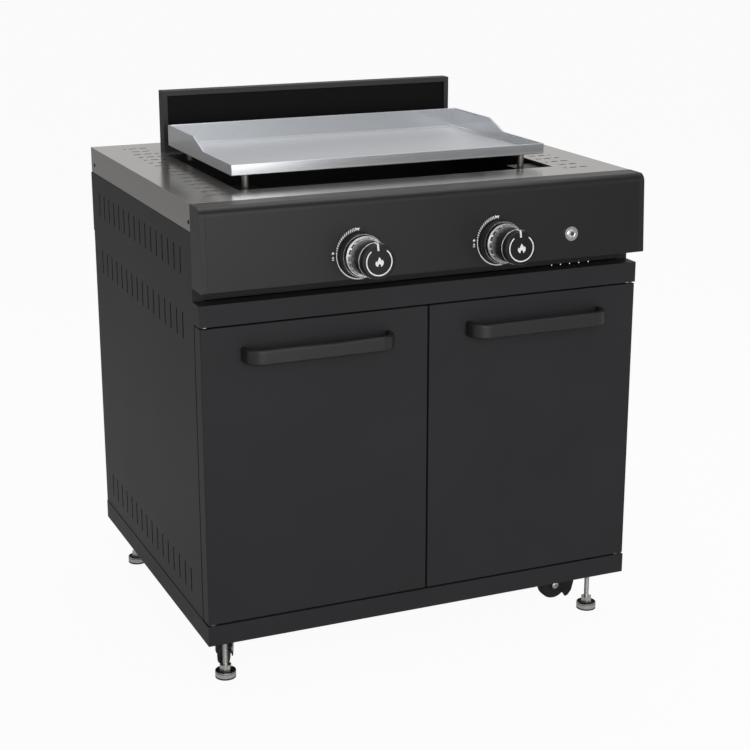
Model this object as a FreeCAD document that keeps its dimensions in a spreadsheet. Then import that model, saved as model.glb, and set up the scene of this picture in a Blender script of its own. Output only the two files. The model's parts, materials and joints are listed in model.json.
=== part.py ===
import FreeCAD, Part
import math
import os
import re

import Sketcher
from FreeCAD import Placement, Rotation, Vector

# Outdoor gas griddle station: a sheet-steel cabinet on levelling feet and casters, with two
# doors, a burner module on top, and a loose stainless griddle over two round burners.
# Millimetres, +Z up, front towards -Y, origin on the ground under the middle of the whole box.

os.makedirs("parts", exist_ok=True)
doc = FreeCAD.newDocument("GasGriddleStation")

# Driving sizes
SIZES = {
    # carcass
    "body_width": 800, "cabinet_inset": 1, "worktop_inset": 1.5, "body_depth": 650,
    "floor_gap": 85, "base_height": 35, "door_height": 509, "door_gap": 3, "rail_height": 35.5,
    "recess_height": 22.5, "panel_height": 135.5, "apron_height": 47, "door_clear": 4,
    "wall": 1.2, "flange": 20, "tray_flange": 40, "play": 0.3, "rail_foot": 16, "rail_lap": 12,
    # air slots in the sides and the wave of vents in the worktop
    "slot_rows": 16, "slot_pitch": 33.7, "slot_height": 44, "slot_width": 5, "slot_first": 59,
    "slot_lift": 28, "slot_drop": 30, "upper_slot_lift": 35, "back_slots": 8, "back_slot_lift": 60,
    "hose_lift": 110, "vent_length": 15, "vent_width": 5, "vent_step": 20,
    "vent_band_start": 48, "vent_band_end": 98, "left_vent_centre": 78, "right_vent_centre": 71,
    "vent_wave": 9, "vent_wave_rows": 9.3, "left_vent_phase": 6.35, "right_vent_phase": 1,
    # worktop opening, burner box, burners
    "opening_width": 582, "opening_depth": 393, "opening_front": 112, "box_depth": 118,
    "box_lip": 8, "rest_side": 20, "rest_drop": 6, "rest_margin": 14, "burner_back": 311,
    "left_burner_x": -117, "right_burner_x": 117, "burner_radius": 46, "cap_radius": 50,
    "bowl_height": 54, "tube_radius": 11, "tube_wall": 2, "tube_clear": 2, "bowl_wall": 6,
    "bowl_floor": 20, "bowl_ease": 8, "probe_offset": 57, "probe_rise": 16, "cap_ports": 12,
    "port_width": 5, "port_height": 7, "cap_skirt": 10, "cap_height": 16,
    # griddle
    "griddle_width": 582, "griddle_depth": 355, "griddle_front": 146, "griddle_lift": 18,
    "griddle_wall": 37, "griddle_lip": 18, "griddle_sheet": 3, "slope_front": 297,
    "slope_back": 352, "slope_round": 18, "foot_inset_x": 32, "foot_inset_y": 26,
    "peg_radius": 6, "drain_length": 16, "drain_width": 6, "drain_inset": 14, "drain_back": 320,
    "cup_width": 38, "cup_length": 66, "cup_depth": 24, "cup_wall": 1,
    # backsplash
    "splash_width": 580, "splash_height": 112, "splash_depth": 25, "splash_front": 532,
    "splash_border": 9, "splash_recess": 4,
    # control panel, knobs and igniter
    "panel_proud": 20, "panel_tilt": 3, "panel_wall": 1.5, "panel_nose": 14, "cap_strip": 9,
    "knob_rise": 42, "left_knob_x": -134, "right_knob_x": 118, "igniter_x": 255,
    "igniter_rise": 44, "knob_reach": 80, "knob_radius": 28.5, "bezel_radius": 36,
    "bezel_height": 18, "bezel_wall": 4, "hub_radius": 14, "hub_start": 8.5, "stem_length": 17,
    "knob_ease": 2, "ring_proud": 3, "ring_flange": 4.5, "ring_foot": 2, "ring_length": 13,
    "ring_flutes": 18, "flute_width": 3.5, "stem_radius": 4, "stem_clear": 3, "fit": 0.05,
    "push_gap": 5, "button_radius": 7.5, "igniter_radius": 12, "igniter_flange": 4,
    "igniter_length": 48, "button_length": 15, "button_proud": 7, "tube_start": 84,
    # gas taps behind the panel, measured back from its face
    "block_size": 26, "block_front": 8, "block_back": 42, "neck_radius": 9, "jet_radius": 4,
    "plug_back": 35.5, "plug_front": 14.5, "plug_small": 5, "plug_large": 7, "plug_socket": 26,
    "inlet_block": 12,
    # doors and handles
    "door_depth": 28, "door_wall": 1, "hinge_inset": 10, "hinge_setback": 11, "pin_radius": 3,
    "pin_flange": 7.2, "pin_bite": 10, "handle_length": 262, "handle_reach": 38,
    "handle_height": 25, "handle_bar": 9, "handle_round": 30, "handle_drop": 47, "handle_ease": 2.5,
    "catch_x": 30, "catch_length": 34, "catch_depth": 15, "catch_height": 14,
    # feet
    "foot_side": 44, "foot_y": 50, "stud_radius": 4, "stud_top": 112, "pad_radius": 18,
    "pad_height": 12, "pad_sink": 2, "hex_radius": 10.5, "hex_height": 13, "nut_radius": 11,
    "nut_height": 8.5, "stud_clear": 1,
    # casters
    "caster_side": 64, "caster_back": 61, "wheel_radius": 28, "wheel_width": 20,
    "tread_ease": 4, "wheel_clear": 4, "wheel_play": 1, "trail": 20, "plate_size": 46,
    "plate_wall": 2, "cheek": 2.5, "axle_radius": 4, "axle_proud": 1.5, "kingpin_radius": 5,
    "head_gap": 0.5, "race_radius": 15, "race_height": 4, "pedal_pin": 18, "pedal_pin_radius": 2,
    "pedal_drop": 17, "pedal_reach": 48, "first_turn": 66.5,
    # supply pipe and its inlet at the back
    "pipe_side": 55, "pipe_size": 18, "pipe_wall": 2, "arm_radius": 8, "inlet_side": 70,
    "inlet_radius": 6.5, "inlet_length": 22, "inlet_sink": 11, "inlet_collar": 10,
    "inlet_hole": 22, "hose_hole": 30,
}

sheet = doc.addObject("Spreadsheet::Sheet", "Sizes")
for row, (alias, number) in enumerate(SIZES.items(), start=1):
    sheet.set(f"A{row}", alias)
    sheet.set(f"B{row}", str(number))
    sheet.setAlias(f"B{row}", alias)
doc.recompute()

parts = []

# Sizes that follow others
TIED = {
    "cabinet_width": "(body_width - 2 * cabinet_inset)",
    "worktop_width": "(body_width - 2 * worktop_inset)",
    "side_setback": "(door_depth + door_clear)",
    "rest_width": "((opening_width - griddle_width) / 2 + foot_inset_x + rest_side)",
    "foot_x": "(body_width / 2 - foot_side)",
    "caster_x": "(body_width / 2 - caster_side)",
    "pipe_half": "(body_width / 2 - pipe_side)",
    "inlet_x": "(body_width / 2 - inlet_side)",
}

# Places that several pieces share, as formulas on the sizes
DOOR_Y = ("((knob_reach * cos(panel_tilt) + knob_radius * sin(panel_tilt)"
          " + panel_proud - body_depth) / 2)")
BACK_Y = f"({DOOR_Y} + body_depth)"
SIDE_Y = f"({DOOR_Y} + side_setback)"
SIDE_DEPTH = "(body_depth - side_setback)"
BASE_TOP = "(floor_gap + base_height)"
DOOR_BOTTOM = f"({BASE_TOP} + door_gap)"
RAIL_BOTTOM = f"({DOOR_BOTTOM} + door_height + door_gap)"
SEAM = f"({RAIL_BOTTOM} + rail_height)"
PANEL_BOTTOM = f"({SEAM} + recess_height)"
TOP = f"({PANEL_BOTTOM} + panel_height)"
APRON_BOTTOM = f"({TOP} - apron_height)"
OPENING_Y = f"({DOOR_Y} + opening_front)"
BOX_FLOOR = f"({TOP} - 2 * wall - box_depth)"
BURNER_Y = f"({DOOR_Y} + burner_back)"
GRIDDLE_Y = f"({DOOR_Y} + griddle_front)"
GRIDDLE_Z = f"({TOP} + griddle_lift)"
KNOB_Z = f"({PANEL_BOTTOM} + knob_rise)"
FACE_Y = f"({DOOR_Y} - panel_proud)"
AXLE_Z = "(wheel_clear + wheel_radius)"
PEDAL_Z = "(floor_gap - pedal_drop)"
RACE_Z = "(floor_gap - plate_wall - race_height)"
HEAD_Z = f"({RACE_Z} - head_gap)"


def formula(text):
    """Write a formula's tied sizes out, and point every size name in it at its cell of the sheet."""
    free = re.sub(r"[a-z_]+", lambda word: TIED.get(word[0], word[0]), str(text))
    return re.sub(r"[a-z_]+", lambda word: "Sizes." + word[0] if word[0] in SIZES else word[0], free)


def value(text):
    """The number that a formula gives."""
    return float(sheet.evalExpression(formula(text)))


def bind(item, **sizes):
    for name, text in sizes.items():
        item.setExpression(name.replace("__", "."), formula(text))
    return item


def place(item, x=0, y=0, z=0, axis=(0, 0, 1), angle=0):
    item.Placement = Placement(Vector(0, 0, 0), Rotation(Vector(*axis), 1))
    item.setExpression("Placement.Rotation.Angle", formula(angle))
    return bind(item, Placement__Base__x=x, Placement__Base__y=y, Placement__Base__z=z)


# Solids and how they join
def box(size, corner=(0, 0, 0), label="Block"):
    item = doc.addObject("Part::Box", label)
    bind(item, Length=size[0], Width=size[1], Height=size[2])
    return place(item, *corner)


def cylinder(radius, length, base=(0, 0, 0), axis="z", label="Round"):
    item = doc.addObject("Part::Cylinder", label)
    bind(item, Radius=radius, Height=length)
    turns = {"x": ((0, 1, 0), 90), "y": ((1, 0, 0), -90), "z": ((0, 0, 1), 0)}
    return place(item, *base, *turns[axis])


def cone(low_radius, high_radius, length, base=(0, 0, 0), label="Taper"):
    item = doc.addObject("Part::Cone", label)
    bind(item, Radius1=low_radius, Radius2=high_radius, Height=length)
    return place(item, *base)


def fuse(label, *pieces):
    item = doc.addObject("Part::MultiFuse", label)
    item.Shapes = list(pieces)
    item.Refine = True
    return item


def cut(label, base, *tools):
    item = doc.addObject("Part::Cut", label)
    item.Base = base
    item.Tool = tools[0] if len(tools) == 1 else fuse(label + "_tool", *tools)
    return item


def group(label, pieces):
    item = doc.addObject("Part::Compound", label)
    item.Links = pieces
    return item


def keep(item, label=None):
    """Count an object as one finished sub-part, named by its label."""
    if label:
        item.Label = label
    parts.append(item)
    return item


def edges_where(shape, test):
    """Numbers of the edges whose middle point and direction pass a test."""
    found = []
    for number, edge in enumerate(shape.Edges, start=1):
        middle = edge.valueAt((edge.FirstParameter + edge.LastParameter) / 2)
        if test(middle, edge):
            found.append(number)
    return found


def along(edge, axis):
    ends = [vertex.Point for vertex in edge.Vertexes]
    if len(ends) < 2:
        return False
    run = ends[1] - ends[0]
    return abs(run.dot(axis)) > 0.999 * run.Length


def rounded(label, base, radius, test, kind="Part::Fillet"):
    """A copy of a solid with the chosen edges rounded, or cut off straight by a chamfer."""
    doc.recompute()
    item = doc.addObject(kind, label)
    item.Base = base
    size = value(radius)
    item.Edges = [(number, size, size) for number in edges_where(base.Shape, test)]
    return item


# Bodies made from sketches
def new_body(label):
    return doc.addObject("PartDesign::Body", label)


def new_sketch(body, role, offset=None):
    sketch = body.newObject("Sketcher::SketchObject", body.Name + "_sketch")
    plane = [item for item in body.Origin.OriginFeatures if item.Role == role][0]
    sketch.AttachmentSupport = [(plane, "")]
    sketch.MapMode = "FlatFace"
    if offset is not None:
        sketch.setExpression("AttachmentOffset.Base.z", formula(offset))
    return sketch


def pin_point(sketch, geometry, vertex, x, y):
    """Dimension one sketch point from the sketch's origin."""
    for kind, text in (("DistanceX", x), ("DistanceY", y)):
        number = sketch.addConstraint(Sketcher.Constraint(kind, -1, 1, geometry, vertex, value(text)))
        sketch.setExpression(f"Constraints[{number}]", formula(text))


def polygon(body, role, corners, offset=None):
    """A closed outline of straight lines through dimensioned corners."""
    sketch = new_sketch(body, role, offset)
    points = [Vector(value(x), value(y), 0) for x, y in corners]
    count = len(points)
    for number in range(count):
        line = Part.LineSegment(points[number], points[(number + 1) % count])
        sketch.addGeometry(line, False)
    for number in range(count):
        following = (number + 1) % count
        sketch.addConstraint(Sketcher.Constraint("Coincident", number, 2, following, 1))
    for number, (x, y) in enumerate(corners):
        pin_point(sketch, number, 1, x, y)
    return sketch


def rectangle(body, role, low, high, offset=None):
    corners = [(low[0], low[1]), (high[0], low[1]), (high[0], high[1]), (low[0], high[1])]
    return polygon(body, role, corners, offset)


def circle(body, role, x, y, radius, offset=None):
    sketch = new_sketch(body, role, offset)
    centre = Vector(value(x), value(y), 0)
    sketch.addGeometry(Part.Circle(centre, Vector(0, 0, 1), value(radius)), False)
    pin_point(sketch, 0, 3, x, y)
    number = sketch.addConstraint(Sketcher.Constraint("Radius", 0, value(radius)))
    sketch.setExpression(f"Constraints[{number}]", formula(radius))
    return sketch


def pad(body, sketch, length, backwards=False, middle=False):
    feature = body.newObject("PartDesign::Pad", body.Name + "_pad")
    feature.Profile = sketch
    feature.Reversed = backwards
    feature.Midplane = middle
    return bind(feature, Length=length)


def pocket(body, sketch, length=None, backwards=False, middle=False):
    """Cut a sketch into the body, and make sure that it removes metal."""
    doc.recompute()
    before = body.Shape.Volume
    feature = body.newObject("PartDesign::Pocket", body.Name + "_pocket")
    feature.Profile = sketch
    feature.Reversed = backwards
    feature.Midplane = middle
    if length is None:
        feature.Type = "ThroughAll"
    else:
        bind(feature, Length=length)
    doc.recompute()
    if body.Shape.Volume >= before:
        raise RuntimeError("a pocket of " + body.Label + " cuts nothing")
    return feature


def revolve(body, sketch):
    """Turn a sketch on the XZ plane once round the body's Z axis."""
    feature = body.newObject("PartDesign::Revolution", body.Name + "_turned")
    feature.Profile = sketch
    feature.ReferenceAxis = (sketch, ["V_Axis"])
    feature.Angle = 360
    return feature


def row_of(body, feature, sketch, pitch, count, axis="H_Axis"):
    """Repeat a feature in a straight row."""
    pattern = body.newObject("PartDesign::LinearPattern", body.Name + "_row")
    pattern.Originals = [feature]
    pattern.Direction = (sketch, [axis])
    bind(pattern, Length=f"{pitch} * ({count} - 1)", Occurrences=count)
    body.Tip = pattern
    return pattern


def ring_of(body, feature, count):
    """Repeat a feature round the body's Z axis."""
    axis = [item for item in body.Origin.OriginFeatures if item.Role == "Z_Axis"][0]
    pattern = body.newObject("PartDesign::PolarPattern", body.Name + "_ring")
    pattern.Originals = [feature]
    pattern.Axis = (axis, [""])
    pattern.Angle = 360
    bind(pattern, Occurrences=count)
    body.Tip = pattern
    return pattern


def soften(body, base, radius, test):
    """Round chosen edges of a body's last feature."""
    doc.recompute()
    feature = body.newObject("PartDesign::Fillet", body.Name + "_round")
    feature.Base = (base, [f"Edge{number}" for number in edges_where(base.Shape, test)])
    return bind(feature, Radius=radius)


def near(a, b):
    return abs(a - b) < 0.01


X_AXIS = Vector(1, 0, 0)
Y_AXIS = Vector(0, 1, 0)
Z_AXIS = Vector(0, 0, 1)
SIDES = (("left", -1), ("right", 1))


# Base tray, its deck and what hangs below it
def base_tray():
    """Folded tray under the whole cabinet, with a return flange round its open top."""
    outer = box(("body_width", "body_depth", "base_height"),
                ("-body_width / 2", DOOR_Y, "floor_gap"))
    cavity = box(("body_width - 2 * wall", "body_depth - 2 * wall", "base_height - 2 * wall"),
                 ("-body_width / 2 + wall", f"{DOOR_Y} + wall", "floor_gap + wall"))
    mouth = box(("body_width - 2 * tray_flange", "body_depth - 2 * tray_flange", "4 * wall"),
                ("-body_width / 2 + tray_flange", f"{DOOR_Y} + tray_flange", f"{BASE_TOP} - 2 * wall"))
    holes = [cylinder("stud_radius + stud_clear", "base_height / 2", (x, y, "floor_gap - wall"))
             for x, y in foot_places()]
    keep(cut("base_tray", outer, cavity, mouth, *holes))


def foot_places():
    front = f"{DOOR_Y} + foot_y"
    back = f"{BACK_Y} - foot_y"
    return [("-foot_x", front), ("foot_x", front), ("-foot_x", back), ("foot_x", back)]


def hexagon(label, radius, height, base):
    item = doc.addObject("Part::Prism", label)
    item.Polygon = 6
    bind(item, Circumradius=radius, Height=height)
    return place(item, *base)


def foot_nuts():
    """Nuts that carry the studs, fixed to the tray's floor from inside."""
    nuts = []
    for x, y in foot_places():
        blank = hexagon("foot_nut_blank", "nut_radius", "nut_height", (x, y, "floor_gap + wall"))
        bore = cylinder("stud_radius + fit", "2 * nut_height", (x, y, "floor_gap"))
        nuts.append(cut("foot_nut", blank, bore))
    keep(group("foot_nuts", nuts))


def feet():
    """Levelling feet: a threaded stud with a hexagon, on a rubber-soled steel dish."""
    names = ("foot_front_left", "foot_front_right", "foot_rear_left", "foot_rear_right")
    for name, (x, y) in zip(names, foot_places()):
        dish = cylinder("pad_radius", "pad_height")
        hollow = cylinder("pad_radius - wall", "2 * pad_sink", (0, 0, "pad_height - pad_sink"))
        bowl = cut("foot_bowl", dish, hollow)
        flats = hexagon("foot_hexagon", "hex_radius", "hex_height", (0, 0, "pad_height - pad_sink"))
        stud = cylinder("stud_radius", "stud_top - pad_height", (0, 0, "pad_height"))
        foot = fuse(name, bowl, flats, stud)
        keep(place(foot, x, y, 0))


def caster_places():
    """Swivel axes and the way each wheel trails, in degrees about the vertical."""
    front = f"{DOOR_Y} + foot_y + caster_back"
    back = f"{BACK_Y} - foot_y - caster_back"
    return {
        "front_left": ("-caster_x", front, value("first_turn")),
        "front_right": ("caster_x", front, 0),
        "rear_left": ("-caster_x", back, 90),
        "rear_right": ("caster_x", back, 90),
    }


def caster_plates():
    """Square top plates with a raised race, screwed under the tray."""
    plates = []
    for x, y, turn in caster_places().values():
        plate = box(("plate_size", "plate_size", "plate_wall"),
                    (f"{x} - plate_size / 2", f"{y} - plate_size / 2", "floor_gap - plate_wall"))
        race = cylinder("race_radius", "race_height", (x, y, RACE_Z))
        bore = cylinder("kingpin_radius + fit", "2 * race_height", (x, y, f"{RACE_Z} - 1"))
        plates.append(cut("caster_plate", fuse("caster_plate_blank", plate, race), bore))
    keep(group("caster_plates", plates))


def caster_fork(name, x, y, turn):
    """Hood astride the wheel, with the kingpin and the axle; the wheel trails towards -X here,
    and the brake pedal's pin is on the other side."""
    kingpin = cylinder("kingpin_radius", f"floor_gap - {HEAD_Z}", (0, 0, f"{HEAD_Z} - 1"))
    inner = "(wheel_width + 2 * wheel_play)"
    outer = f"({inner} + 2 * cheek)"
    body = new_body(f"caster_{name}_hood")
    outline = polygon(body, "XZ_Plane", [
        ("-trail - 4", HEAD_Z), ("pedal_pin + 5", HEAD_Z), ("pedal_pin + 5", f"{PEDAL_Z} - 5"),
        ("pedal_pin + 1", AXLE_Z), ("pedal_pin - 3", f"{AXLE_Z} - 15"),
        ("pedal_pin - 10", f"{AXLE_Z} - 24"), (2, f"{AXLE_Z} - 26"), ("-3", f"{AXLE_Z} - 19"),
        ("-8", f"{AXLE_Z} - 10"), ("-trail + 6", f"{AXLE_Z} - 8"), ("-trail - 5", f"{AXLE_Z} - 8"),
        ("-trail - 9", AXLE_Z), ("-trail - 5", f"{AXLE_Z} + 8"), ("-trail + 4", f"{AXLE_Z} + 12"),
        ("-trail", f"{AXLE_Z} + 26"),
    ])
    pad(body, outline, outer, middle=True)
    # the slot for the wheel runs on over the pedal, and leaves the block under the head
    crown = f"({AXLE_Z} + wheel_radius + 3)"
    slot = polygon(body, "XZ_Plane", [
        ("-trail - 20", 0), ("pedal_pin + 20", 0), ("pedal_pin + 20", f"{HEAD_Z} + 5"),
        ("pedal_pin - 12", f"{HEAD_Z} + 5"), ("pedal_pin - 12", crown), ("-trail - 20", crown),
    ])
    pocket(body, slot, inner, middle=True)
    pin = cylinder("axle_radius", f"{outer} + 2 * axle_proud",
                   ("-trail", f"-{outer} / 2 - axle_proud", AXLE_Z), "y")
    pieces = [kingpin, body, pin]
    if name.startswith("front"):
        pieces.append(cylinder("pedal_pin_radius", outer, ("pedal_pin", f"-{outer} / 2", PEDAL_Z), "y"))
    fork = fuse(f"caster_{name}_fork", *pieces)
    keep(place(fork, x, y, 0, (0, 0, 1), turn))


def caster_wheel(name, x, y, turn):
    """Moulded wheel with a chamfered tread."""
    body = new_body(f"caster_{name}_wheel")
    half = "(wheel_width / 2)"
    outline = polygon(body, "XZ_Plane", [
        ("axle_radius + fit", f"-{half}"), ("wheel_radius - tread_ease", f"-{half}"),
        ("wheel_radius", f"-{half} + tread_ease"), ("wheel_radius", f"{half} - tread_ease"),
        ("wheel_radius - tread_ease", half), ("axle_radius + fit", half),
    ])
    revolve(body, outline)
    # the wheel's own axis lies level, square to the trail
    level = (math.cos(math.radians(turn)), math.sin(math.radians(turn)), 0)
    keep(place(body, f"{x} - trail * cos({turn})", f"{y} - trail * sin({turn})", AXLE_Z, level, 90))


def caster_brake(name, x, y, turn):
    """Foot pedal that rocks on a pin between the hood's cheeks, opposite the wheel."""
    body = new_body(f"caster_{name}_brake")
    outline = polygon(body, "XZ_Plane", [
        ("pedal_pin - 4", f"{PEDAL_Z} + 4"), ("pedal_pin + 6", f"{PEDAL_Z} + 4"),
        ("pedal_reach - 9", f"{PEDAL_Z} - 2"), ("pedal_reach", f"{PEDAL_Z} - 12"),
        ("pedal_reach - 2", f"{PEDAL_Z} - 14"), ("pedal_reach - 12", f"{PEDAL_Z} - 5"),
        ("pedal_pin + 5", f"{PEDAL_Z} - 3.5"), ("pedal_pin - 1", f"{PEDAL_Z} - 4.5"),
        ("pedal_pin - 6", f"{PEDAL_Z} - 8"), ("pedal_pin - 8.5", f"{PEDAL_Z} - 5.5"),
    ])
    pad(body, outline, "wheel_width + wheel_play", middle=True)
    bore = circle(body, "XZ_Plane", "pedal_pin", PEDAL_Z, "pedal_pin_radius + fit")
    pocket(body, bore, "wheel_width * 2", middle=True)
    keep(place(body, x, y, 0, (0, 0, 1), turn))


def casters():
    for name, (x, y, turn) in caster_places().items():
        caster_fork(name, x, y, turn)
        caster_wheel(name, x, y, turn)
        if name.startswith("front"):
            caster_brake(name, x, y, turn)


# Cabinet shell
def side_panel(label, side, width, height, bottom, slot_lifts):
    """Folded side with flanges on all four edges and rows of upright air slots."""
    body = new_body(label)
    inward = side > 0
    outline = rectangle(body, "YZ_Plane", (0, 0), (SIDE_DEPTH, height))
    pad(body, outline, "flange", backwards=inward)
    inside = rectangle(body, "YZ_Plane", ("wall", "wall"), (f"{SIDE_DEPTH} - wall", f"{height} - wall"),
                       offset=f"{-side} * wall")
    pocket(body, inside, "flange", backwards=not inward)
    for lift in slot_lifts:
        start = "(slot_first - slot_width / 2)"
        slot = rectangle(body, "YZ_Plane", (start, lift), (f"{start} + slot_width", f"{lift} + slot_height"))
        hole = pocket(body, slot, "2 * wall", backwards=not inward)
        row_of(body, hole, slot, "slot_pitch", "slot_rows")
    keep(place(body, f"{side} * {width} / 2", SIDE_Y, bottom))


def cabinet_sides():
    height = f"({SEAM} - {BASE_TOP})"
    lifts = ("slot_lift", f"{height} - slot_drop - slot_height")
    for name, side in SIDES:
        side_panel(f"{name}_side_panel", side, "cabinet_width", height, BASE_TOP, lifts)


def module_sides():
    height = f"({APRON_BOTTOM} - {SEAM})"
    for name, side in SIDES:
        side_panel(f"upper_{name}_panel", side, "body_width", height, SEAM, ("upper_slot_lift",))


def back_sheet(label, width, height, bottom, lift, port):
    """Flat back lying against the rear flanges of the two sides, with one round port."""
    body = new_body(label)
    inner = f"({width} / 2 - wall)"
    outline = rectangle(body, "XZ_Plane", (f"-{inner}", "wall"), (inner, f"{height} - wall"))
    pad(body, outline, "wall")
    first = "(-slot_pitch * (back_slots - 1) / 2)"
    slot = rectangle(body, "XZ_Plane", (f"{first} - slot_width / 2", lift),
                     (f"{first} + slot_width / 2", f"{lift} + slot_height"))
    hole = pocket(body, slot, "2 * wall", middle=True)
    row_of(body, hole, slot, "slot_pitch", "back_slots")
    pocket(body, circle(body, "XZ_Plane", *port), "4 * wall", middle=True)
    keep(place(body, 0, f"{BACK_Y} - wall", bottom))


def cabinet_backs():
    back_sheet("back_panel", "cabinet_width", f"({SEAM} - {BASE_TOP})", BASE_TOP,
               "back_slot_lift", ("cabinet_width / 4", "hose_lift", "hose_hole"))
    back_sheet("upper_back_panel", "body_width", f"({APRON_BOTTOM} - {SEAM})", SEAM,
               "upper_slot_lift", ("inlet_x", f"{INLET_Z} - {SEAM}", "inlet_hole"))


def cabinet_floor():
    """Deck on the bottom flanges of the two sides."""
    inner = "(cabinet_width / 2 - wall)"
    keep(box((f"2 * {inner}", f"{SIDE_DEPTH} - 3 * wall", "wall"),
             (f"-{inner}", f"{SIDE_Y} + wall", f"{BASE_TOP} + wall"), "cabinet_floor"))


def module_floor():
    """Heat shield between the burner module and the cabinet."""
    inner = "(body_width / 2 - wall)"
    keep(box((f"2 * {inner}", f"{SIDE_DEPTH} - 4 * wall", "wall"),
             (f"-{inner}", f"{SIDE_Y} + 2 * wall", f"{SEAM} + wall"), "module_floor"))


def top_rail():
    """Hollow cross rail over the doors, open towards the inside."""
    outer = box(("body_width", "side_setback", "rail_height"), ("-body_width / 2", DOOR_Y, RAIL_BOTTOM))
    cavity = box(("body_width - 2 * wall", "side_setback", "rail_height - 2 * wall"),
                 ("-body_width / 2 + wall", f"{DOOR_Y} + wall", f"{RAIL_BOTTOM} + wall"))
    keep(cut("top_rail", outer, cavity))


def recess_rail():
    """Angle that closes the shadow gap between the rail and the control panel."""
    inner = "(body_width / 2 - wall)"
    upright = box((f"2 * {inner}", "wall", "recess_height + rail_lap"),
                  (f"-{inner}", f"{SIDE_Y} + wall", f"{SEAM} + 2 * wall"))
    foot = box((f"2 * {inner}", "rail_foot", "wall"), (f"-{inner}", f"{SIDE_Y} + wall", f"{SEAM} + 2 * wall"))
    keep(fuse("recess_rail", upright, foot))


# Worktop with its opening and vents
def worktop():
    """Stainless tray with folded aprons, a cut-out for the burner box and waves of vents."""
    body = new_body("worktop_blank")
    depth = "(body_depth - side_setback)"
    outline = rectangle(body, "XY_Plane", ("-worktop_width / 2", 0), ("worktop_width / 2", depth))
    pad(body, outline, "apron_height", backwards=True)
    inside = rectangle(body, "XY_Plane", ("-worktop_width / 2 + wall", "wall"),
                       ("worktop_width / 2 - wall", f"{depth} - wall"), offset="-wall")
    pocket(body, inside, "apron_height")
    front = "(opening_front - side_setback)"
    mouth = rectangle(body, "XY_Plane", ("-opening_width / 2", front),
                      ("opening_width / 2", f"{front} + opening_depth"))
    pocket(body, mouth, "4 * wall")
    place(body, 0, f"{DOOR_Y} + side_setback", TOP)
    vents = doc.addObject("Part::Feature", "worktop_vents")
    vents.Shape = Part.makeCompound(vent_slots())
    keep(cut("worktop", body, vents))


def vent_slots():
    """Round-ended slots in rows; each row slides along a wave and is clipped to a band."""
    slots = []
    edge = value("worktop_width / 2")
    length, width, step = value("vent_length"), value("vent_width"), value("vent_step")
    near_edge, far_edge = value("vent_band_start"), value("vent_band_end")
    for name, side in SIDES:
        for row in range(int(value("slot_rows"))):
            y = value(f"{SIDE_Y} + slot_first") + row * value("slot_pitch")
            turn = 2 * math.pi * (row - value(f"{name}_vent_phase")) / value("vent_wave_rows")
            middle = value(f"{name}_vent_centre") + value("vent_wave") * math.cos(turn)
            for number in (-2, -1, 0, 1, 2):
                start = max(middle + number * step - length / 2, near_edge)
                end = min(middle + number * step + length / 2, far_edge)
                if end - start > width + 0.5:
                    slots.append(slot_cutter(side * (edge - start), side * (edge - end), y, width))
    return slots


def slot_cutter(x_start, x_end, y, width):
    """One upright bar that punches through the worktop, its half-round ends in three flats."""
    left, right = sorted((x_start, x_end))
    radius = width / 2
    outline = []
    for middle, first in ((right - radius, -90), (left + radius, 90)):
        for step in range(4):
            turn = math.radians(first + 60 * step)
            outline.append(Vector(middle + radius * math.cos(turn), y + radius * math.sin(turn),
                                  value(f"{TOP} - 5")))
    return Part.Face(Part.makePolygon(outline + outline[:1])).extrude(Vector(0, 0, 10))


# Burner box and burners
FRONT_REST = "(griddle_front + foot_inset_y - opening_front + rest_margin)"
BACK_REST = ("(opening_front + opening_depth - griddle_front - griddle_depth + foot_inset_y"
             " + rest_margin)")


def burner_box():
    """Deep open box under the cut-out, hung by its lip, with a rest in each corner."""
    width = "(opening_width - 2 * play)"
    depth = "(opening_depth - 2 * play)"
    front = f"({OPENING_Y} + play)"
    lip_z = f"({TOP} - 2 * wall)"
    outer = box((width, depth, f"{lip_z} + wall - {BOX_FLOOR}"), (f"-{width} / 2", front, BOX_FLOOR))
    lip = box((f"{width} + 2 * box_lip", f"{depth} + 2 * box_lip", "wall"),
              (f"-{width} / 2 - box_lip", f"{front} - box_lip", lip_z))
    cavity = box((f"{width} - 2 * wall", f"{depth} - 2 * wall", "box_depth + 4 * wall"),
                 (f"-{width} / 2 + wall", f"{front} + wall", f"{BOX_FLOOR} + wall"))
    shell = cut("burner_box_shell", fuse("burner_box_blank", outer, lip), cavity)
    rests = []
    for side in (-1, 1):
        for back in (0, 1):
            rest = BACK_REST if back else FRONT_REST
            y = f"{front} + {back} * ({depth} - {rest})"
            x = f"{side} * ({width} / 2 - rest_width / 2) - rest_width / 2"
            rests.append(box(("rest_width", rest, "wall"), (x, y, f"{TOP} - rest_drop - wall")))
    tubes = [cylinder("tube_radius + tube_clear", "30", (x, f"{front} - 15", TUBE_Z), "y")
             for x in (tube_wall_x("left"), tube_wall_x("right"))]
    keep(cut("burner_box", fuse("burner_box_body", shell, *rests), *tubes))


# The mixing tubes run from the jets to the burners, on the jets' level
TUBE_Z = f"({KNOB_Z} - tube_start * sin(panel_tilt))"
TUBE_Y = f"({FACE_Y} + tube_start * cos(panel_tilt))"


def tube_wall_x(name):
    """Where a mixing tube crosses the front wall of the burner box."""
    run = f"(({OPENING_Y} - {TUBE_Y}) / ({BURNER_Y} - {TUBE_Y}))"
    return f"{name}_knob_x + ({name}_burner_x - {name}_knob_x) * {run}"


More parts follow.
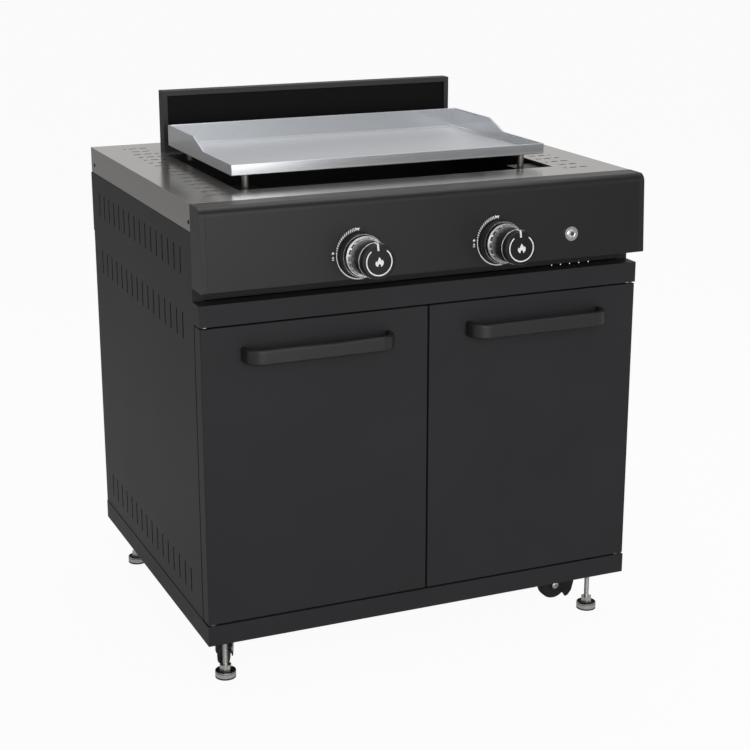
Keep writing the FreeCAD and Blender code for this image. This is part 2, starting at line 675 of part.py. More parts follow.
def burners():
    """Cast bowls on short pedestals, each with its mixing tube running forward to a jet."""
    castings = []
    caps = []
    for name, side in SIDES:
        x = f"{name}_burner_x"
        body = new_body(f"{name}_bowl")
        outline = polygon(body, "XZ_Plane", [
            (0, 0), ("burner_radius - bowl_ease", 0), ("burner_radius", "bowl_ease"),
            ("burner_radius", "bowl_height"), ("burner_radius - bowl_wall", "bowl_height"),
            ("burner_radius - bowl_wall", "bowl_floor"), (0, "bowl_floor"),
        ])
        revolve(body, outline)
        place(body, x, BURNER_Y, f"{BOX_FLOOR} + wall")
        start = Vector(value(f"{name}_knob_x"), value(TUBE_Y), value(TUBE_Z))
        run = Vector(value(x), value(BURNER_Y), value(TUBE_Z)) - start
        reach = run.Length - value("burner_radius - bowl_wall / 2")
        run.normalize()
        radius, metal = value("tube_radius"), value("tube_wall")
        shell = prism(start, run * reach, radius)
        bore = prism(start - run, run * (reach - 8), radius - metal)
        tube = doc.addObject("Part::Feature", f"{name}_mixing_tube")
        tube.Shape = shell.cut(bore)
        castings.append(fuse(f"{name}_burner", body, tube))
        caps.append(burner_cap(name, x))
    keep(group("burners", castings))
    keep(group("burner_caps", caps))


def prism(start, run, radius, sides=8):
    """Straight bar with a regular outline, standing on its foot and as long as the run."""
    across = run.cross(Z_AXIS).normalize() * radius
    corners = []
    for number in range(sides + 1):
        corners.append(start + Rotation(run, 360 * (number + 0.5) / sides).multVec(across))
    return Part.Face(Part.makePolygon(corners)).extrude(run)


def burner_cap(name, x):
    """Domed cap whose skirt is notched all round into flame ports."""
    body = new_body(f"{name}_cap")
    skirt = "(burner_radius - bowl_wall - 2)"
    outline = polygon(body, "XZ_Plane", [
        (0, "port_height"), (skirt, "port_height"), (skirt, 0), ("cap_radius", 0),
        ("cap_radius", "cap_skirt"), (0, "cap_height"),
    ])
    revolve(body, outline)
    notch = rectangle(body, "XZ_Plane", ("-port_width / 2", "-1"), ("port_width / 2", "port_height"),
                      offset=f"{skirt} - 2")
    cutter = pocket(body, notch, f"cap_radius - {skirt} + 6", backwards=True)
    ring_of(body, cutter, "cap_ports")
    return place(body, x, BURNER_Y, f"{BOX_FLOOR} + wall + bowl_height")


def probes():
    """Spark electrodes on the burners' inner sides and flame sensors on their outer sides."""
    tall = "(bowl_height + probe_rise)"
    electrodes = []
    sensors = []
    for name, side in SIDES:
        inner_x = f"{name}_burner_x - {side} * probe_offset"
        outer_x = f"{name}_burner_x + {side} * probe_offset"
        floor_z = f"{BOX_FLOOR} + wall"
        y = f"{BURNER_Y} - 8"
        ceramic = cylinder("3.5", tall, (inner_x, y, floor_z))
        collar = cylinder("6", "8", (inner_x, y, floor_z))
        tip = cylinder("1.2", f"{tall} + 7", (inner_x, y, floor_z))
        electrodes.append(fuse("spark_electrode", ceramic, collar, tip))
        stalk = cylinder("2.4", f"{tall} + 2", (outer_x, y, floor_z))
        nut = cylinder("5", "9", (outer_x, y, floor_z))
        sensors.append(fuse("flame_sensor", stalk, nut))
    keep(group("spark_electrodes", electrodes))
    keep(group("thermocouples", sensors))


# Griddle
def griddle():
    """Stainless tray: low front lip, tall back, side walls that step down in a slope."""
    body = new_body("griddle_plate")
    half = "(griddle_width / 2)"
    outline = rectangle(body, "XY_Plane", (f"-{half}", 0), (half, "griddle_depth"))
    pad(body, outline, "griddle_wall")
    inside = rectangle(body, "XY_Plane", (f"-{half} + griddle_sheet", "griddle_sheet"),
                       (f"{half} - griddle_sheet", "griddle_depth - griddle_sheet"),
                       offset="griddle_wall")
    pocket(body, inside, "griddle_wall - griddle_sheet")
    low = "(slope_front - griddle_front)"
    high = "(slope_back - griddle_front)"
    step = polygon(body, "YZ_Plane", [
        ("-5", "griddle_lip"), (low, "griddle_lip"), (high, "griddle_wall"),
        (high, "griddle_wall + 5"), ("-5", "griddle_wall + 5"),
    ])
    stepped = pocket(body, step, "griddle_width + 20", middle=True)
    corners = ((value(low), value("griddle_lip")), (value(high), value("griddle_wall")))
    curved = soften(body, stepped, "slope_round", lambda middle, edge: along(edge, X_AXIS) and any(
        near(middle.y, y) and near(middle.z, z) for y, z in corners))
    doc.recompute()
    drain_x = f"({half} - griddle_sheet - drain_inset)"
    drain_y = "(drain_back - griddle_front)"
    slot = rectangle(body, "XY_Plane", (f"{drain_x} - drain_length / 2", drain_y),
                     (f"{drain_x} + drain_length / 2", f"{drain_y} + drain_width"))
    pocket(body, slot, "3 * griddle_sheet", middle=True)
    keep(place(body, 0, GRIDDLE_Y, GRIDDLE_Z))
    peg_height = "(griddle_lift + rest_drop)"
    pegs = []
    for side in (-1, 1):
        for y in (f"{GRIDDLE_Y} + foot_inset_y", f"{GRIDDLE_Y} + griddle_depth - foot_inset_y"):
            pegs.append(cylinder("peg_radius", peg_height,
                                 (f"{side} * ({half} - foot_inset_x)", y, f"{GRIDDLE_Z} - {peg_height}")))
    keep(group("griddle_feet", pegs))
    cup_x = f"({drain_x} - cup_width + 12)"
    cup_y = f"({GRIDDLE_Y} + {drain_y} - 30)"
    outer = box(("cup_width", "cup_length", "cup_depth"), (cup_x, cup_y, f"{GRIDDLE_Z} - cup_depth"))
    inner = box(("cup_width - 2 * cup_wall", "cup_length - 2 * cup_wall", "cup_depth"),
                (f"{cup_x} + cup_wall", f"{cup_y} + cup_wall", f"{GRIDDLE_Z} - cup_depth + cup_wall"))
    keep(cut("grease_cup", outer, inner))


# Backsplash
def backsplash():
    """Black frame standing on the worktop behind the griddle, with a sunk sheet."""
    front = f"({DOOR_Y} + splash_front)"
    outer = box(("splash_width", "splash_depth", "splash_height"), ("-splash_width / 2", front, TOP))
    window = box(("splash_width - 2 * splash_border", "splash_depth + 2",
                  "splash_height - 2 * splash_border"),
                 ("-splash_width / 2 + splash_border", f"{front} - 1", f"{TOP} + splash_border"))
    keep(cut("backsplash_frame", outer, window))
    keep(box(("splash_width - 2 * splash_border", "wall", "splash_height - 2 * splash_border"),
             ("-splash_width / 2 + splash_border", f"{front} + splash_recess", f"{TOP} + splash_border"),
             "backsplash_panel"))


# Control panel and its end caps
def panel_outline(body, start, inset):
    """Side view of the panel: level top, rounded nose, leaning face, level underside."""
    lean = "(knob_rise * tan(panel_tilt))"
    rise = "((panel_height - knob_rise) * tan(panel_tilt))"
    back = f"({DOOR_Y} + side_setback)"
    return polygon(body, "YZ_Plane", [
        (f"{back} + {inset} * 20", f"{TOP} - {inset}"),
        (f"{FACE_Y} + {rise} + {inset}", f"{TOP} - {inset}"),
        (f"{FACE_Y} - {lean} + {inset}", f"{PANEL_BOTTOM} + {inset}"),
        (f"{back} + {inset} * 20", f"{PANEL_BOTTOM} + {inset}"),
    ], offset=start)


def panel_blank(label, start, width, inset):
    """Solid of the panel's side view, with its nose and lower edge rounded."""
    body = new_body(label)
    padded = pad(body, panel_outline(body, start, inset), width)
    top = value(f"{TOP} - {inset}")
    bottom = value(f"{PANEL_BOTTOM} + {inset}")
    front = value(f"{FACE_Y} + 20")
    nose = soften(body, padded, f"panel_nose - {inset}", lambda middle, edge: along(
        edge, X_AXIS) and near(middle.z, top) and middle.y < front)
    soften(body, nose, f"3 - {inset}", lambda middle, edge: along(
        edge, X_AXIS) and near(middle.z, bottom) and middle.y < front)
    doc.recompute()
    return body


def control_panel():
    """Folded front, open at the back, bored for the two stems and the igniter."""
    strip = "cap_strip"
    inner_width = f"(body_width - 2 * {strip})"
    outer = panel_blank("control_panel_blank", f"-{inner_width} / 2", inner_width, "0")
    hollow = panel_blank("control_panel_hollow", f"-{inner_width} / 2 - 5", f"{inner_width} + 10",
                         "panel_wall")
    bores = [on_panel(cylinder(radius, "20", (0, 0, 0)), x, rise, -12)
             for x, rise, radius in (("left_knob_x", "knob_rise", "stem_radius + stem_clear"),
                                     ("right_knob_x", "knob_rise", "stem_radius + stem_clear"),
                                     ("igniter_x", "igniter_rise", "igniter_radius - 1.2"))]
    keep(cut("control_panel", outer, hollow, *bores))
    caps = []
    for side in (-1, 1):
        start = "-body_width / 2" if side < 0 else f"body_width / 2 - {strip}"
        caps.append(panel_blank(f"end_cap_{'left' if side < 0 else 'right'}", start, strip, "0"))
    keep(group("end_caps", caps))


def on_panel(item, x, rise, depth=0):
    """Stand a piece made along +Z square on the leaning face, at a height above its foot."""
    y = f"{FACE_Y} + (({rise}) - knob_rise) * tan(panel_tilt) - ({depth}) * cos(panel_tilt)"
    z = f"{PANEL_BOTTOM} + {rise} + ({depth}) * sin(panel_tilt)"
    return place(item, x, y, z, (1, 0, 0), "90 - panel_tilt")


# Knobs, valves and supply pipe
PIPE_Y = f"({DOOR_Y} - 1)"
PIPE_Z = f"({PANEL_BOTTOM} + 4)"
INLET_Y = f"({BACK_Y} - inlet_sink - inlet_length)"
INLET_Z = f"({PIPE_Z} + pipe_size + 2)"


def knob_bezels():
    """Deep round collars about the stems, hollow in front."""
    collars = []
    for name, side in SIDES:
        outer = cylinder("bezel_radius", "bezel_height")
        hollow = cylinder("bezel_radius - bezel_wall", "bezel_height", (0, 0, "bezel_wall"))
        bore = cylinder("stem_radius + stem_clear", "10", (0, 0, "-2"))
        collars.append(on_panel(cut(f"{name}_bezel", outer, hollow, bore), f"{name}_knob_x", "knob_rise"))
    keep(group("knob_bezels", collars))


def knobs():
    for name, side in SIDES:
        x = f"{name}_knob_x"
        ring_start = "(bezel_height + push_gap)"
        body = new_body(f"{name}_knob")
        outline = polygon(body, "XZ_Plane", [
            (0, "-stem_length"), ("stem_radius", "-stem_length"), ("stem_radius", "hub_start"),
            ("hub_radius", "hub_start"), ("hub_radius", ring_start), ("knob_radius", ring_start),
            ("knob_radius", "knob_reach - knob_ease"), ("knob_radius - knob_ease", "knob_reach"),
            (0, "knob_reach"),
        ])
        revolve(body, outline)
        keep(on_panel(body, x, "knob_rise"))
        ring = new_body(f"{name}_knob_ring")
        wide = "(knob_radius + ring_flange)"
        outline = polygon(ring, "XZ_Plane", [
            ("knob_radius + fit", ring_start), (wide, ring_start), (wide, f"{ring_start} + ring_foot"),
            ("knob_radius + ring_proud", f"{ring_start} + ring_foot"),
            ("knob_radius + ring_proud", f"{ring_start} + ring_length"),
            ("knob_radius + fit", f"{ring_start} + ring_length"),
        ])
        revolve(ring, outline)
        flute = rectangle(ring, "XZ_Plane", ("-flute_width / 2", f"{ring_start} + ring_foot"),
                          ("flute_width / 2", f"{ring_start} + ring_length + 1"),
                          offset="knob_radius + ring_proud / 2")
        groove = pocket(ring, flute, "10", backwards=True)
        ring_of(ring, groove, "ring_flutes")
        keep(on_panel(ring, x, "knob_rise"))


def valves():
    """Gas taps behind the panel: block, neck, jet and inlet, round a tapered plug."""
    blocks = []
    for name, side in SIDES:
        x = f"{name}_knob_x"
        half = "block_size / 2"
        block = box(("block_size", "block_size", "block_back - block_front"),
                    (f"-{half}", f"-{half}", "-block_back"))
        neck = cylinder("neck_radius", "block_front - panel_wall + 0.5", (0, 0, "-block_front - 0.5"))
        jet = cylinder("jet_radius", "tube_start - 30", (0, 0, "3 - tube_start"))
        seat = cone("plug_small + fit", "plug_large + fit", "plug_back - plug_front + 1",
                    (0, 0, "-plug_back - 0.5"))
        throat = cylinder("stem_radius + fit", "40", (0, 0, "-20"))
        metal = on_panel(fuse(f"{name}_valve_blank", block, neck, jet), x, "knob_rise", "0")
        inlet = box(("inlet_block", "inlet_block", "block_size - 4"),
                    (f"{x} - inlet_block / 2", f"{PIPE_Y} + pipe_size / 2 - inlet_block / 2",
                     f"{PIPE_Z} + pipe_size"))
        hollow = on_panel(fuse(f"{name}_valve_bores", seat, throat), x, "knob_rise", "0")
        blocks.append(cut(f"{name}_valve", fuse(f"{name}_valve_body", metal, inlet), hollow))
        plug = new_body(f"{name}_valve_plug")
        outline = polygon(plug, "XZ_Plane", [
            (0, "-plug_back"), ("plug_small + fit", "-plug_back"), ("plug_large - fit", "-plug_front"),
            ("stem_radius + fit", "-plug_front"), ("stem_radius + fit", "-plug_socket"),
            (0, "-plug_socket"),
        ])
        revolve(plug, outline)
        keep(on_panel(plug, x, "knob_rise"))
    keep(group("gas_valves", blocks))


def manifold():
    """Square supply pipe behind the panel, fed by a round arm from a nipple that faces the rear."""
    pipe = box(("2 * pipe_half", "pipe_size", "pipe_size"), ("-pipe_half", PIPE_Y, PIPE_Z))
    inside = "(pipe_size - 2 * pipe_wall)"
    bore = box(("2 * pipe_half - 2 * pipe_wall", inside, inside),
               ("-pipe_half + pipe_wall", f"{PIPE_Y} + pipe_wall", f"{PIPE_Z} + pipe_wall"))
    middle = f"({PIPE_Y} + pipe_size / 2)"
    arm = cylinder("arm_radius", f"{INLET_Y} - {middle}", ("inlet_x", middle, INLET_Z), "y")
    collar = cylinder("inlet_collar", "6", ("inlet_x", f"{INLET_Y} - 6", INLET_Z), "y")
    nipple = cylinder("inlet_radius", "inlet_length", ("inlet_x", INLET_Y, INLET_Z), "y")
    lug = box(("2 * arm_radius", "pipe_size", "arm_radius + 4"),
              ("inlet_x - arm_radius", PIPE_Y, f"{PIPE_Z} + pipe_size - 2"))
    keep(fuse("gas_manifold", cut("manifold_pipe", pipe, bore), arm, collar, nipple, lug))


def igniter():
    """Push igniter: a long housing behind the panel, a bright collar and a button."""
    flange = cylinder("igniter_radius", "igniter_flange")
    barrel = cylinder("igniter_radius - 1.3", "igniter_length", (0, 0, "-igniter_length"))
    bore = cylinder("button_radius + fit", "button_length + 9", (0, 0, "-button_length - 5"))
    housing = cut("igniter_housing", fuse("igniter_blank", flange, barrel), bore)
    keep(on_panel(housing, "igniter_x", "igniter_rise"))
    body = new_body("igniter_button")
    outline = polygon(body, "XZ_Plane", [
        (0, "-button_length"), ("button_radius", "-button_length"), ("button_radius", "button_proud - 1"),
        ("button_radius - 1", "button_proud"), (0, "button_proud"),
    ])
    revolve(body, outline)
    keep(on_panel(body, "igniter_x", "igniter_rise"))


# Doors
DOOR_WIDTH = "((cabinet_width - door_gap) / 2)"


def door(name, side):
    """Folded door with an inner sheet and a flat bar handle."""
    inner_edge = "(door_gap / 2)"
    outer_edge = f"({inner_edge} + {DOOR_WIDTH})"
    left = f"-{outer_edge}" if side < 0 else inner_edge
    blank = box((DOOR_WIDTH, "door_depth", "door_height"), (left, DOOR_Y, DOOR_BOTTOM))
    front = value(DOOR_Y)
    edged = rounded(f"{name}_door_edged", blank, "1.5", lambda middle, edge: near(middle.y, front))
    hollow = box((f"{DOOR_WIDTH} - 2 * door_wall", "door_depth", "door_height - 2 * door_wall"),
                 (f"{left} + door_wall", f"{DOOR_Y} + door_wall", f"{DOOR_BOTTOM} + door_wall"))
    pin_x, pin_y = hinge_place(side)
    pins = cylinder("pin_radius + fit", "door_height + 4", (pin_x, pin_y, f"{DOOR_BOTTOM} - 2"))
    keep(cut(f"{name}_door_skin", edged, hollow, pins))
    sheet_y = f"({DOOR_Y} + door_depth - door_wall)"
    keep(box((f"{DOOR_WIDTH} - 2 * door_wall", "door_wall", "door_height - 2 * door_wall"),
             (f"{left} + door_wall", sheet_y, f"{DOOR_BOTTOM} + door_wall"), f"{name}_door_inner"))
    keep(handle(name, f"{left} + {DOOR_WIDTH} / 2"))


def hinge_place(side):
    return (f"{side} * (cabinet_width / 2 - hinge_inset)", f"({DOOR_Y} + hinge_setback)")


def handle(name, centre):
    """Flat bar bent back to the door at both ends, its long edges eased."""
    bottom = f"({DOOR_BOTTOM} + door_height - handle_drop - handle_height / 2)"
    front = f"({DOOR_Y} - handle_reach)"
    blank = box(("handle_length", "handle_reach", "handle_height"),
                (f"{centre} - handle_length / 2", front, bottom))
    front_y = value(front)
    bent = rounded(f"{name}_handle_bent", blank, "handle_round", lambda middle, edge: along(
        edge, Z_AXIS) and near(middle.y, front_y))
    void = box(("handle_length - 2 * handle_bar", "handle_reach", "handle_height + 2"),
               (f"{centre} - handle_length / 2 + handle_bar", f"{front} + handle_bar", f"{bottom} - 1"))
    void_y = value(f"{front} + handle_bar")
    bent_void = rounded(f"{name}_handle_void", void, "handle_round - handle_bar", lambda middle, edge:
                        along(edge, Z_AXIS) and near(middle.y, void_y))
    bar = cut(f"{name}_handle_bar", bent, bent_void)
    low, high = value(bottom), value(f"{bottom} + handle_height")
    return rounded(f"{name}_handle", bar, "handle_ease", lambda middle, edge: (
        near(middle.z, low) or near(middle.z, high)) and outer_run(edge, front_y, value(centre)),
        "Part::Chamfer")


def outer_run(edge, front_y, centre_x):
    """True for the handle's outside edges, so that only those are eased."""
    box_of = edge.BoundBox
    half = value("handle_length / 2")
    on_front = near(box_of.YMin, front_y)
    on_end = near(abs(box_of.Center.x - centre_x), half)
    return on_front or on_end


def hinge_pins():
    """Pins with round flanges that stand on the tray and hang from the rail."""
    pins = []
    for name, side in SIDES:
        x, y = hinge_place(side)
        high = f"{RAIL_BOTTOM} - door_gap"
        for start, flange_start in ((BASE_TOP, BASE_TOP), (f"{high} - pin_bite", f"{high} + 1")):
            shank = cylinder("pin_radius", "door_gap + pin_bite", (x, y, start))
            flange = cylinder("pin_flange", "door_gap - 1", (x, y, flange_start))
            pins.append(fuse("hinge_pin", shank, flange))
    keep(group("hinge_pins", pins))


def door_catches():
    """Magnets under the rail, behind the meeting edges of the doors."""
    magnets = []
    for side in (-1, 1):
        magnets.append(box(("catch_length", "catch_depth", "catch_height"),
                           (f"{side} * catch_x - catch_length / 2", f"{DOOR_Y} + door_depth + play",
                            f"{RAIL_BOTTOM} - catch_height")))
    keep(group("door_catches", magnets))


base_tray()
foot_nuts()
feet()
caster_plates()
casters()
cabinet_floor()
cabinet_sides()
cabinet_backs()
top_rail()
module_floor()
module_sides()
recess_rail()
worktop()
burner_box()
burners()
probes()
griddle()
backsplash()
control_panel()
knob_bezels()
knobs()
valves()
manifold()
igniter()
for door_name, door_side in SIDES:
    door(door_name, door_side)
hinge_pins()
door_catches()

doc.recompute()

faults = [f"{item.Label}: {item.State}" for item in doc.Objects
          if "Invalid" in item.State or "Error" in item.State]
faults += [f"{item.Label} has no valid shape" for item in parts
           if item.Shape.isNull() or not item.Shape.isValid() or not item.Shape.Solids]
if faults:
    raise RuntimeError("; ".join(faults))

for item in parts:
    item.Shape.exportStep(f"parts/{item.Label}.step")
print(len(parts), "sub-parts")
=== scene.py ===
import json
import math

import bmesh
import bpy
from mathutils import Euler, Matrix, Vector


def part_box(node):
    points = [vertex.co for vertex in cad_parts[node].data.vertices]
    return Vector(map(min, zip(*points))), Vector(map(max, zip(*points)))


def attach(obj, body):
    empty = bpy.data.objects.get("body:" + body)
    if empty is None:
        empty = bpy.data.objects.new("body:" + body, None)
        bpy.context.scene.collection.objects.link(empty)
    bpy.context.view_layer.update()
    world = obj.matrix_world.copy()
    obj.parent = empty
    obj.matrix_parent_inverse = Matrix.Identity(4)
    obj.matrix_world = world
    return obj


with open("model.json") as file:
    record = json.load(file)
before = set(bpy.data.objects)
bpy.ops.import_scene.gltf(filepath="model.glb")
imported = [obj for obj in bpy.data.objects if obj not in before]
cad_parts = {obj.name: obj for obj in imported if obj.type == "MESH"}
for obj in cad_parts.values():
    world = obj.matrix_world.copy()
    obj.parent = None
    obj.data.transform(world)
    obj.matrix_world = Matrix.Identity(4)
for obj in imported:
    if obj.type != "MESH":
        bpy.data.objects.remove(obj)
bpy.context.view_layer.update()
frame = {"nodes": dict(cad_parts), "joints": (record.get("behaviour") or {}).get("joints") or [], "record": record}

# An outdoor gas griddle station in charcoal powder coat and brushed stainless steel.
MM = 0.001
JOINTS = {joint["name"]: joint for joint in frame["joints"]}
OPENINGS = {gap["name"]: gap["box_m"] for gap in frame["record"]["physics"]["openings"]}
CORNERS = ("front_left", "front_right", "rear_left", "rear_right")

# How far the collar, the waist and the face of a knob stand out from the panel
COLLAR = 18 * MM
WAIST = 65 * MM
FACE = 80 * MM

# A dial's angles in degrees from the right: where its arc starts, gets bolder and ends
DIAL_START, DIAL_BOLD, DIAL_END = 172, 210, 287


def lean_of(joint):
    """How far a knob's axis is turned about X from straight up."""
    return math.atan2(-joint["axis"][1], joint["axis"][2])


def stand_of(joint):
    """The frame of a knob: X right, Y up the panel, Z out along its axis."""
    return Matrix.Translation(joint["pos_m"]) @ Matrix.Rotation(lean_of(joint), 4, "X")


# Shader and geometry trees
class Wire:
    """An output socket that can be used in sums and comparisons."""

    def __init__(self, net, socket):
        self.net = net
        self.socket = socket

    def other(self, name):
        """Another output of the same node."""
        return Wire(self.net, self.socket.node.outputs[name])

    def __add__(self, value):
        return self.net.maths("ADD", self, value)

    def __radd__(self, value):
        return self.net.maths("ADD", value, self)

    def __sub__(self, value):
        return self.net.maths("SUBTRACT", self, value)

    def __rsub__(self, value):
        return self.net.maths("SUBTRACT", value, self)

    def __mul__(self, value):
        return self.net.maths("MULTIPLY", self, value)

    def __rmul__(self, value):
        return self.net.maths("MULTIPLY", value, self)

    def __truediv__(self, value):
        return self.net.maths("DIVIDE", self, value)

    def __pow__(self, value):
        return self.net.maths("POWER", self, value)

    def __lt__(self, value):
        return self.net.maths("LESS_THAN", self, value)

    def __gt__(self, value):
        return self.net.maths("GREATER_THAN", self, value)


class Net:
    """A node tree that is built one node at a time."""

    def __init__(self, tree):
        self.tree = tree

    def add(self, kind, settings=None, sockets=None, output=0):
        """A node with its settings and its sockets' values or links, as the wire of one output."""
        node = self.tree.nodes.new(kind)
        for name, value in (settings or {}).items():
            if name == "stops":
                set_stops(node.color_ramp, value)
            else:
                setattr(node, name, value)
        for key, value in (sockets or {}).items():
            if isinstance(value, Wire):
                self.tree.links.new(value.socket, node.inputs[key])
            else:
                node.inputs[key].default_value = value
        return Wire(self, node.outputs[output]) if node.outputs else None

    def maths(self, operation, *values):
        """A Math node on one value or two."""
        return self.add("ShaderNodeMath", {"operation": operation}, dict(enumerate(values)))


def set_stops(ramp, stops):
    """Give a colour ramp its stops, as (position, grey or colour) pairs."""
    while len(ramp.elements) < len(stops):
        ramp.elements.new(0.5)
    for element, (position, shade) in zip(ramp.elements, stops):
        element.position = position
        element.color = shade if isinstance(shade, tuple) else (shade, shade, shade, 1)


def tint(shade, factor=1.0, lift=0.0):
    """A shade of red, green and blue made lighter or darker, with the alpha that a socket takes."""
    return tuple(min(factor * part + lift, 1) for part in shade) + (1,)


def bare_tree(owner):
    """An empty node tree on a material or a world."""
    owner.use_nodes = True
    owner.node_tree.nodes.clear()
    return Net(owner.node_tree)


def split(net, spot):
    """The three parts of a place or direction."""
    across = net.add("ShaderNodeSeparateXYZ", None, {"Vector": spot})
    return across, across.other("Y"), across.other("Z")


def vector(net, x=0.0, y=0.0, z=0.0):
    """A place, size or rotation from its three parts."""
    return net.add("ShaderNodeCombineXYZ", None, {"X": x, "Y": y, "Z": z})


def blend(net, factor, first, second):
    """Mix two colours."""
    return net.add("ShaderNodeMix", {"data_type": "RGBA"}, {0: factor, 6: first, 7: second}, 2)


def place_on(net, scale=(1, 1, 1), move=(0, 0, 0), turn=(0, 0, 0)):
    """Object coordinates, centred and turned on a piece and then stretched."""
    spot = net.add("ShaderNodeTexCoord", output="Object")
    if any(move) or any(turn):
        spot = net.add("ShaderNodeMapping", {"vector_type": "TEXTURE"},
                       {"Vector": spot, "Location": move, "Rotation": turn})
    if scale != (1, 1, 1):
        spot = net.add("ShaderNodeMapping", None, {"Vector": spot, "Scale": scale})
    return spot


def cloud(net, spot, scale, detail, roughness):
    """Soft noise between 0 and 1."""
    return net.add("ShaderNodeTexNoise", None,
                   {"Vector": spot, "Scale": scale, "Detail": detail, "Roughness": roughness})


def ramped(net, wire, *stops):
    """A colour ramp over a wire."""
    return net.add("ShaderNodeValToRGB", {"stops": stops}, {"Fac": wire})


def relief(net, height, depth, strength, normal=None):
    """A bump from a height between 0 and 1, in metres of depth."""
    sockets = {"Height": height, "Distance": depth, "Strength": strength}
    if normal is not None:
        sockets["Normal"] = normal
    return net.add("ShaderNodeBump", None, sockets)


def eased(net, radius):
    """Normals that round every edge a little."""
    return net.add("ShaderNodeBevel", {"samples": 6}, {"Radius": radius})


def finish(name, build, **constants):
    """A material whose shader's varying sockets come from a build function."""
    material = bpy.data.materials.new(name)
    net = bare_tree(material)
    sockets = {key.replace("_", " "): value for key, value in constants.items()}
    sockets.update(build(net))
    shader = net.add("ShaderNodeBsdfPrincipled", None, sockets)
    net.add("ShaderNodeOutputMaterial", None, {"Surface": shader})
    return material


def upward(net):
    """1 on faces that look up, 0 on upright ones."""
    facing = net.add("ShaderNodeNewGeometry", output="Normal")
    return net.maths("MAXIMUM", split(net, facing)[2], 0.0)


# Finishes
# Painted shade: near black laid on the cut edges inside the worktop's vents as their shadow, and mixed into its
# upright aprons as shade
PAINTED_SHADE = tint((0.02, 0.02, 0.02))


def powder_coat(name, shade, gloss, specular, rounding=0.9 * MM):
    """Baked powder paint: fine orange peel, faint clouding, and dust on what looks up."""
    def build(net):
        spot = place_on(net)
        peel = cloud(net, spot, 900, 2, 0.6)
        wide = cloud(net, spot, 5, 3, 0.6)
        dust = cloud(net, spot, 60, 4, 0.7) * upward(net)
        colour = blend(net, wide, tint(shade, 0.86), tint(shade, 1.14))
        return {
            "Base Color": blend(net, 0.25 * dust, colour, tint(shade, 1.6, 0.01)),
            "Roughness": gloss + 0.07 * (wide - 0.5) + 0.06 * (peel - 0.5),
            "Normal": relief(net, peel, 0.05 * MM, 0.5, eased(net, rounding)),
        }
    return finish(name, build, Specular_IOR_Level=specular)


def brushed(name, shade, stretch, roughness, depth, rounding, satin=0.0, haze=0.0, vents=None):
    """Stainless steel with a grain along one axis. Satin adds roughness to what looks up, and haze
    is the share of light that the grain scatters. Vents are two levels and a half width: the cut
    edges inside them are painted near black as a painted shadow, and the upright faces, the folded
    aprons, get painted shade a third of the way to that black, so they read darker than the top."""
    def build(net):
        spot = place_on(net)
        grain = cloud(net, place_on(net, stretch), 1, 4, 0.65)
        handling = cloud(net, spot, 9, 4, 0.6)
        colour = blend(net, grain, tint(shade, 0.93), tint(shade, 1.05))
        rough = roughness + 0.05 * (grain - 0.5) + 0.06 * (handling - 0.5)
        if satin:
            rough = rough + satin * upward(net)
        if vents:
            low, high, half = vents
            # Painted shade: upright faces, the folded aprons, are taken a third of the way to black
            colour = blend(net, upward(net), blend(net, 0.34, colour, PAINTED_SHADE), colour)
            across, _, height = split(net, spot)
            # Painted shadow: the cut edges inside the vents, below the top and not looking up, are painted near
            # black
            inner = (height > low) * (height < high) * (net.maths("ABSOLUTE", across) < half)
            colour = blend(net, inner * (1 - (upward(net) > 0.5)), colour, PAINTED_SHADE)
        return {
            "Base Color": colour,
            "Roughness": rough,
            "Normal": relief(net, grain, depth, 0.3, eased(net, rounding)),
        }
    return finish(name, build, Metallic=1.0 - haze)


def enamel(name, shade, roughness):
    """Vitreous enamel: a thin glassy coat that pools in soft waves."""
    def build(net):
        wave = cloud(net, place_on(net), 35, 2, 0.5)
        soot = cloud(net, place_on(net), 14, 5, 0.65)
        return {
            "Base Color": blend(net, ramped(net, soot, (0.4, 0.0), (0.75, 1.0)), tint(shade),
                                tint(shade, 0.5)),
            "Roughness": roughness + 0.15 * (soot - 0.5),
            "Normal": relief(net, wave, 0.4 * MM, 0.4),
        }
    return finish(name, build, Specular_IOR_Level=0.4)


def cast_iron(name, shade):
    """Sand-cast iron with a pitted skin."""
    def build(net):
        skin = cloud(net, place_on(net), 420, 5, 0.7)
        patch = cloud(net, place_on(net), 30, 3, 0.6)
        return {
            "Base Color": blend(net, patch, tint(shade), tint(shade, 1.9)),
            "Roughness": 0.62 + 0.2 * (skin - 0.5),
            "Metallic": 0.35 + 0.3 * patch,
            "Normal": relief(net, skin, 0.3 * MM, 0.8, eased(net, 0.6 * MM)),
        }
    return finish(name, build, Specular_IOR_Level=0.35)


def plain_metal(name, shade, roughness, scale=300, depth=0.04 * MM):
    """Plated or turned metal with slight mottling."""
    def build(net):
        mottle = cloud(net, place_on(net), scale, 3, 0.6)
        wide = cloud(net, place_on(net), 25, 2, 0.5)
        return {
            "Base Color": blend(net, wide, tint(shade, 0.85), tint(shade)),
            "Roughness": roughness + 0.12 * (mottle - 0.5),
            "Normal": relief(net, mottle, depth, 0.5, eased(net, 0.4 * MM)),
        }
    return finish(name, build, Metallic=1.0)


def spangled(name, shade):
    """Galvanised sheet, with its crystals."""
    def build(net):
        cells = net.add("ShaderNodeTexVoronoi", None,
                        {"Vector": place_on(net), "Scale": 90.0}, "Color")
        sheen = split(net, cells)[0]
        return {
            "Base Color": blend(net, sheen, tint(shade, 0.8), tint(shade)),
            "Roughness": 0.42 + 0.18 * (sheen - 0.5),
            "Normal": relief(net, sheen, 0.03 * MM, 0.3),
        }
    return finish(name, build, Metallic=1.0)


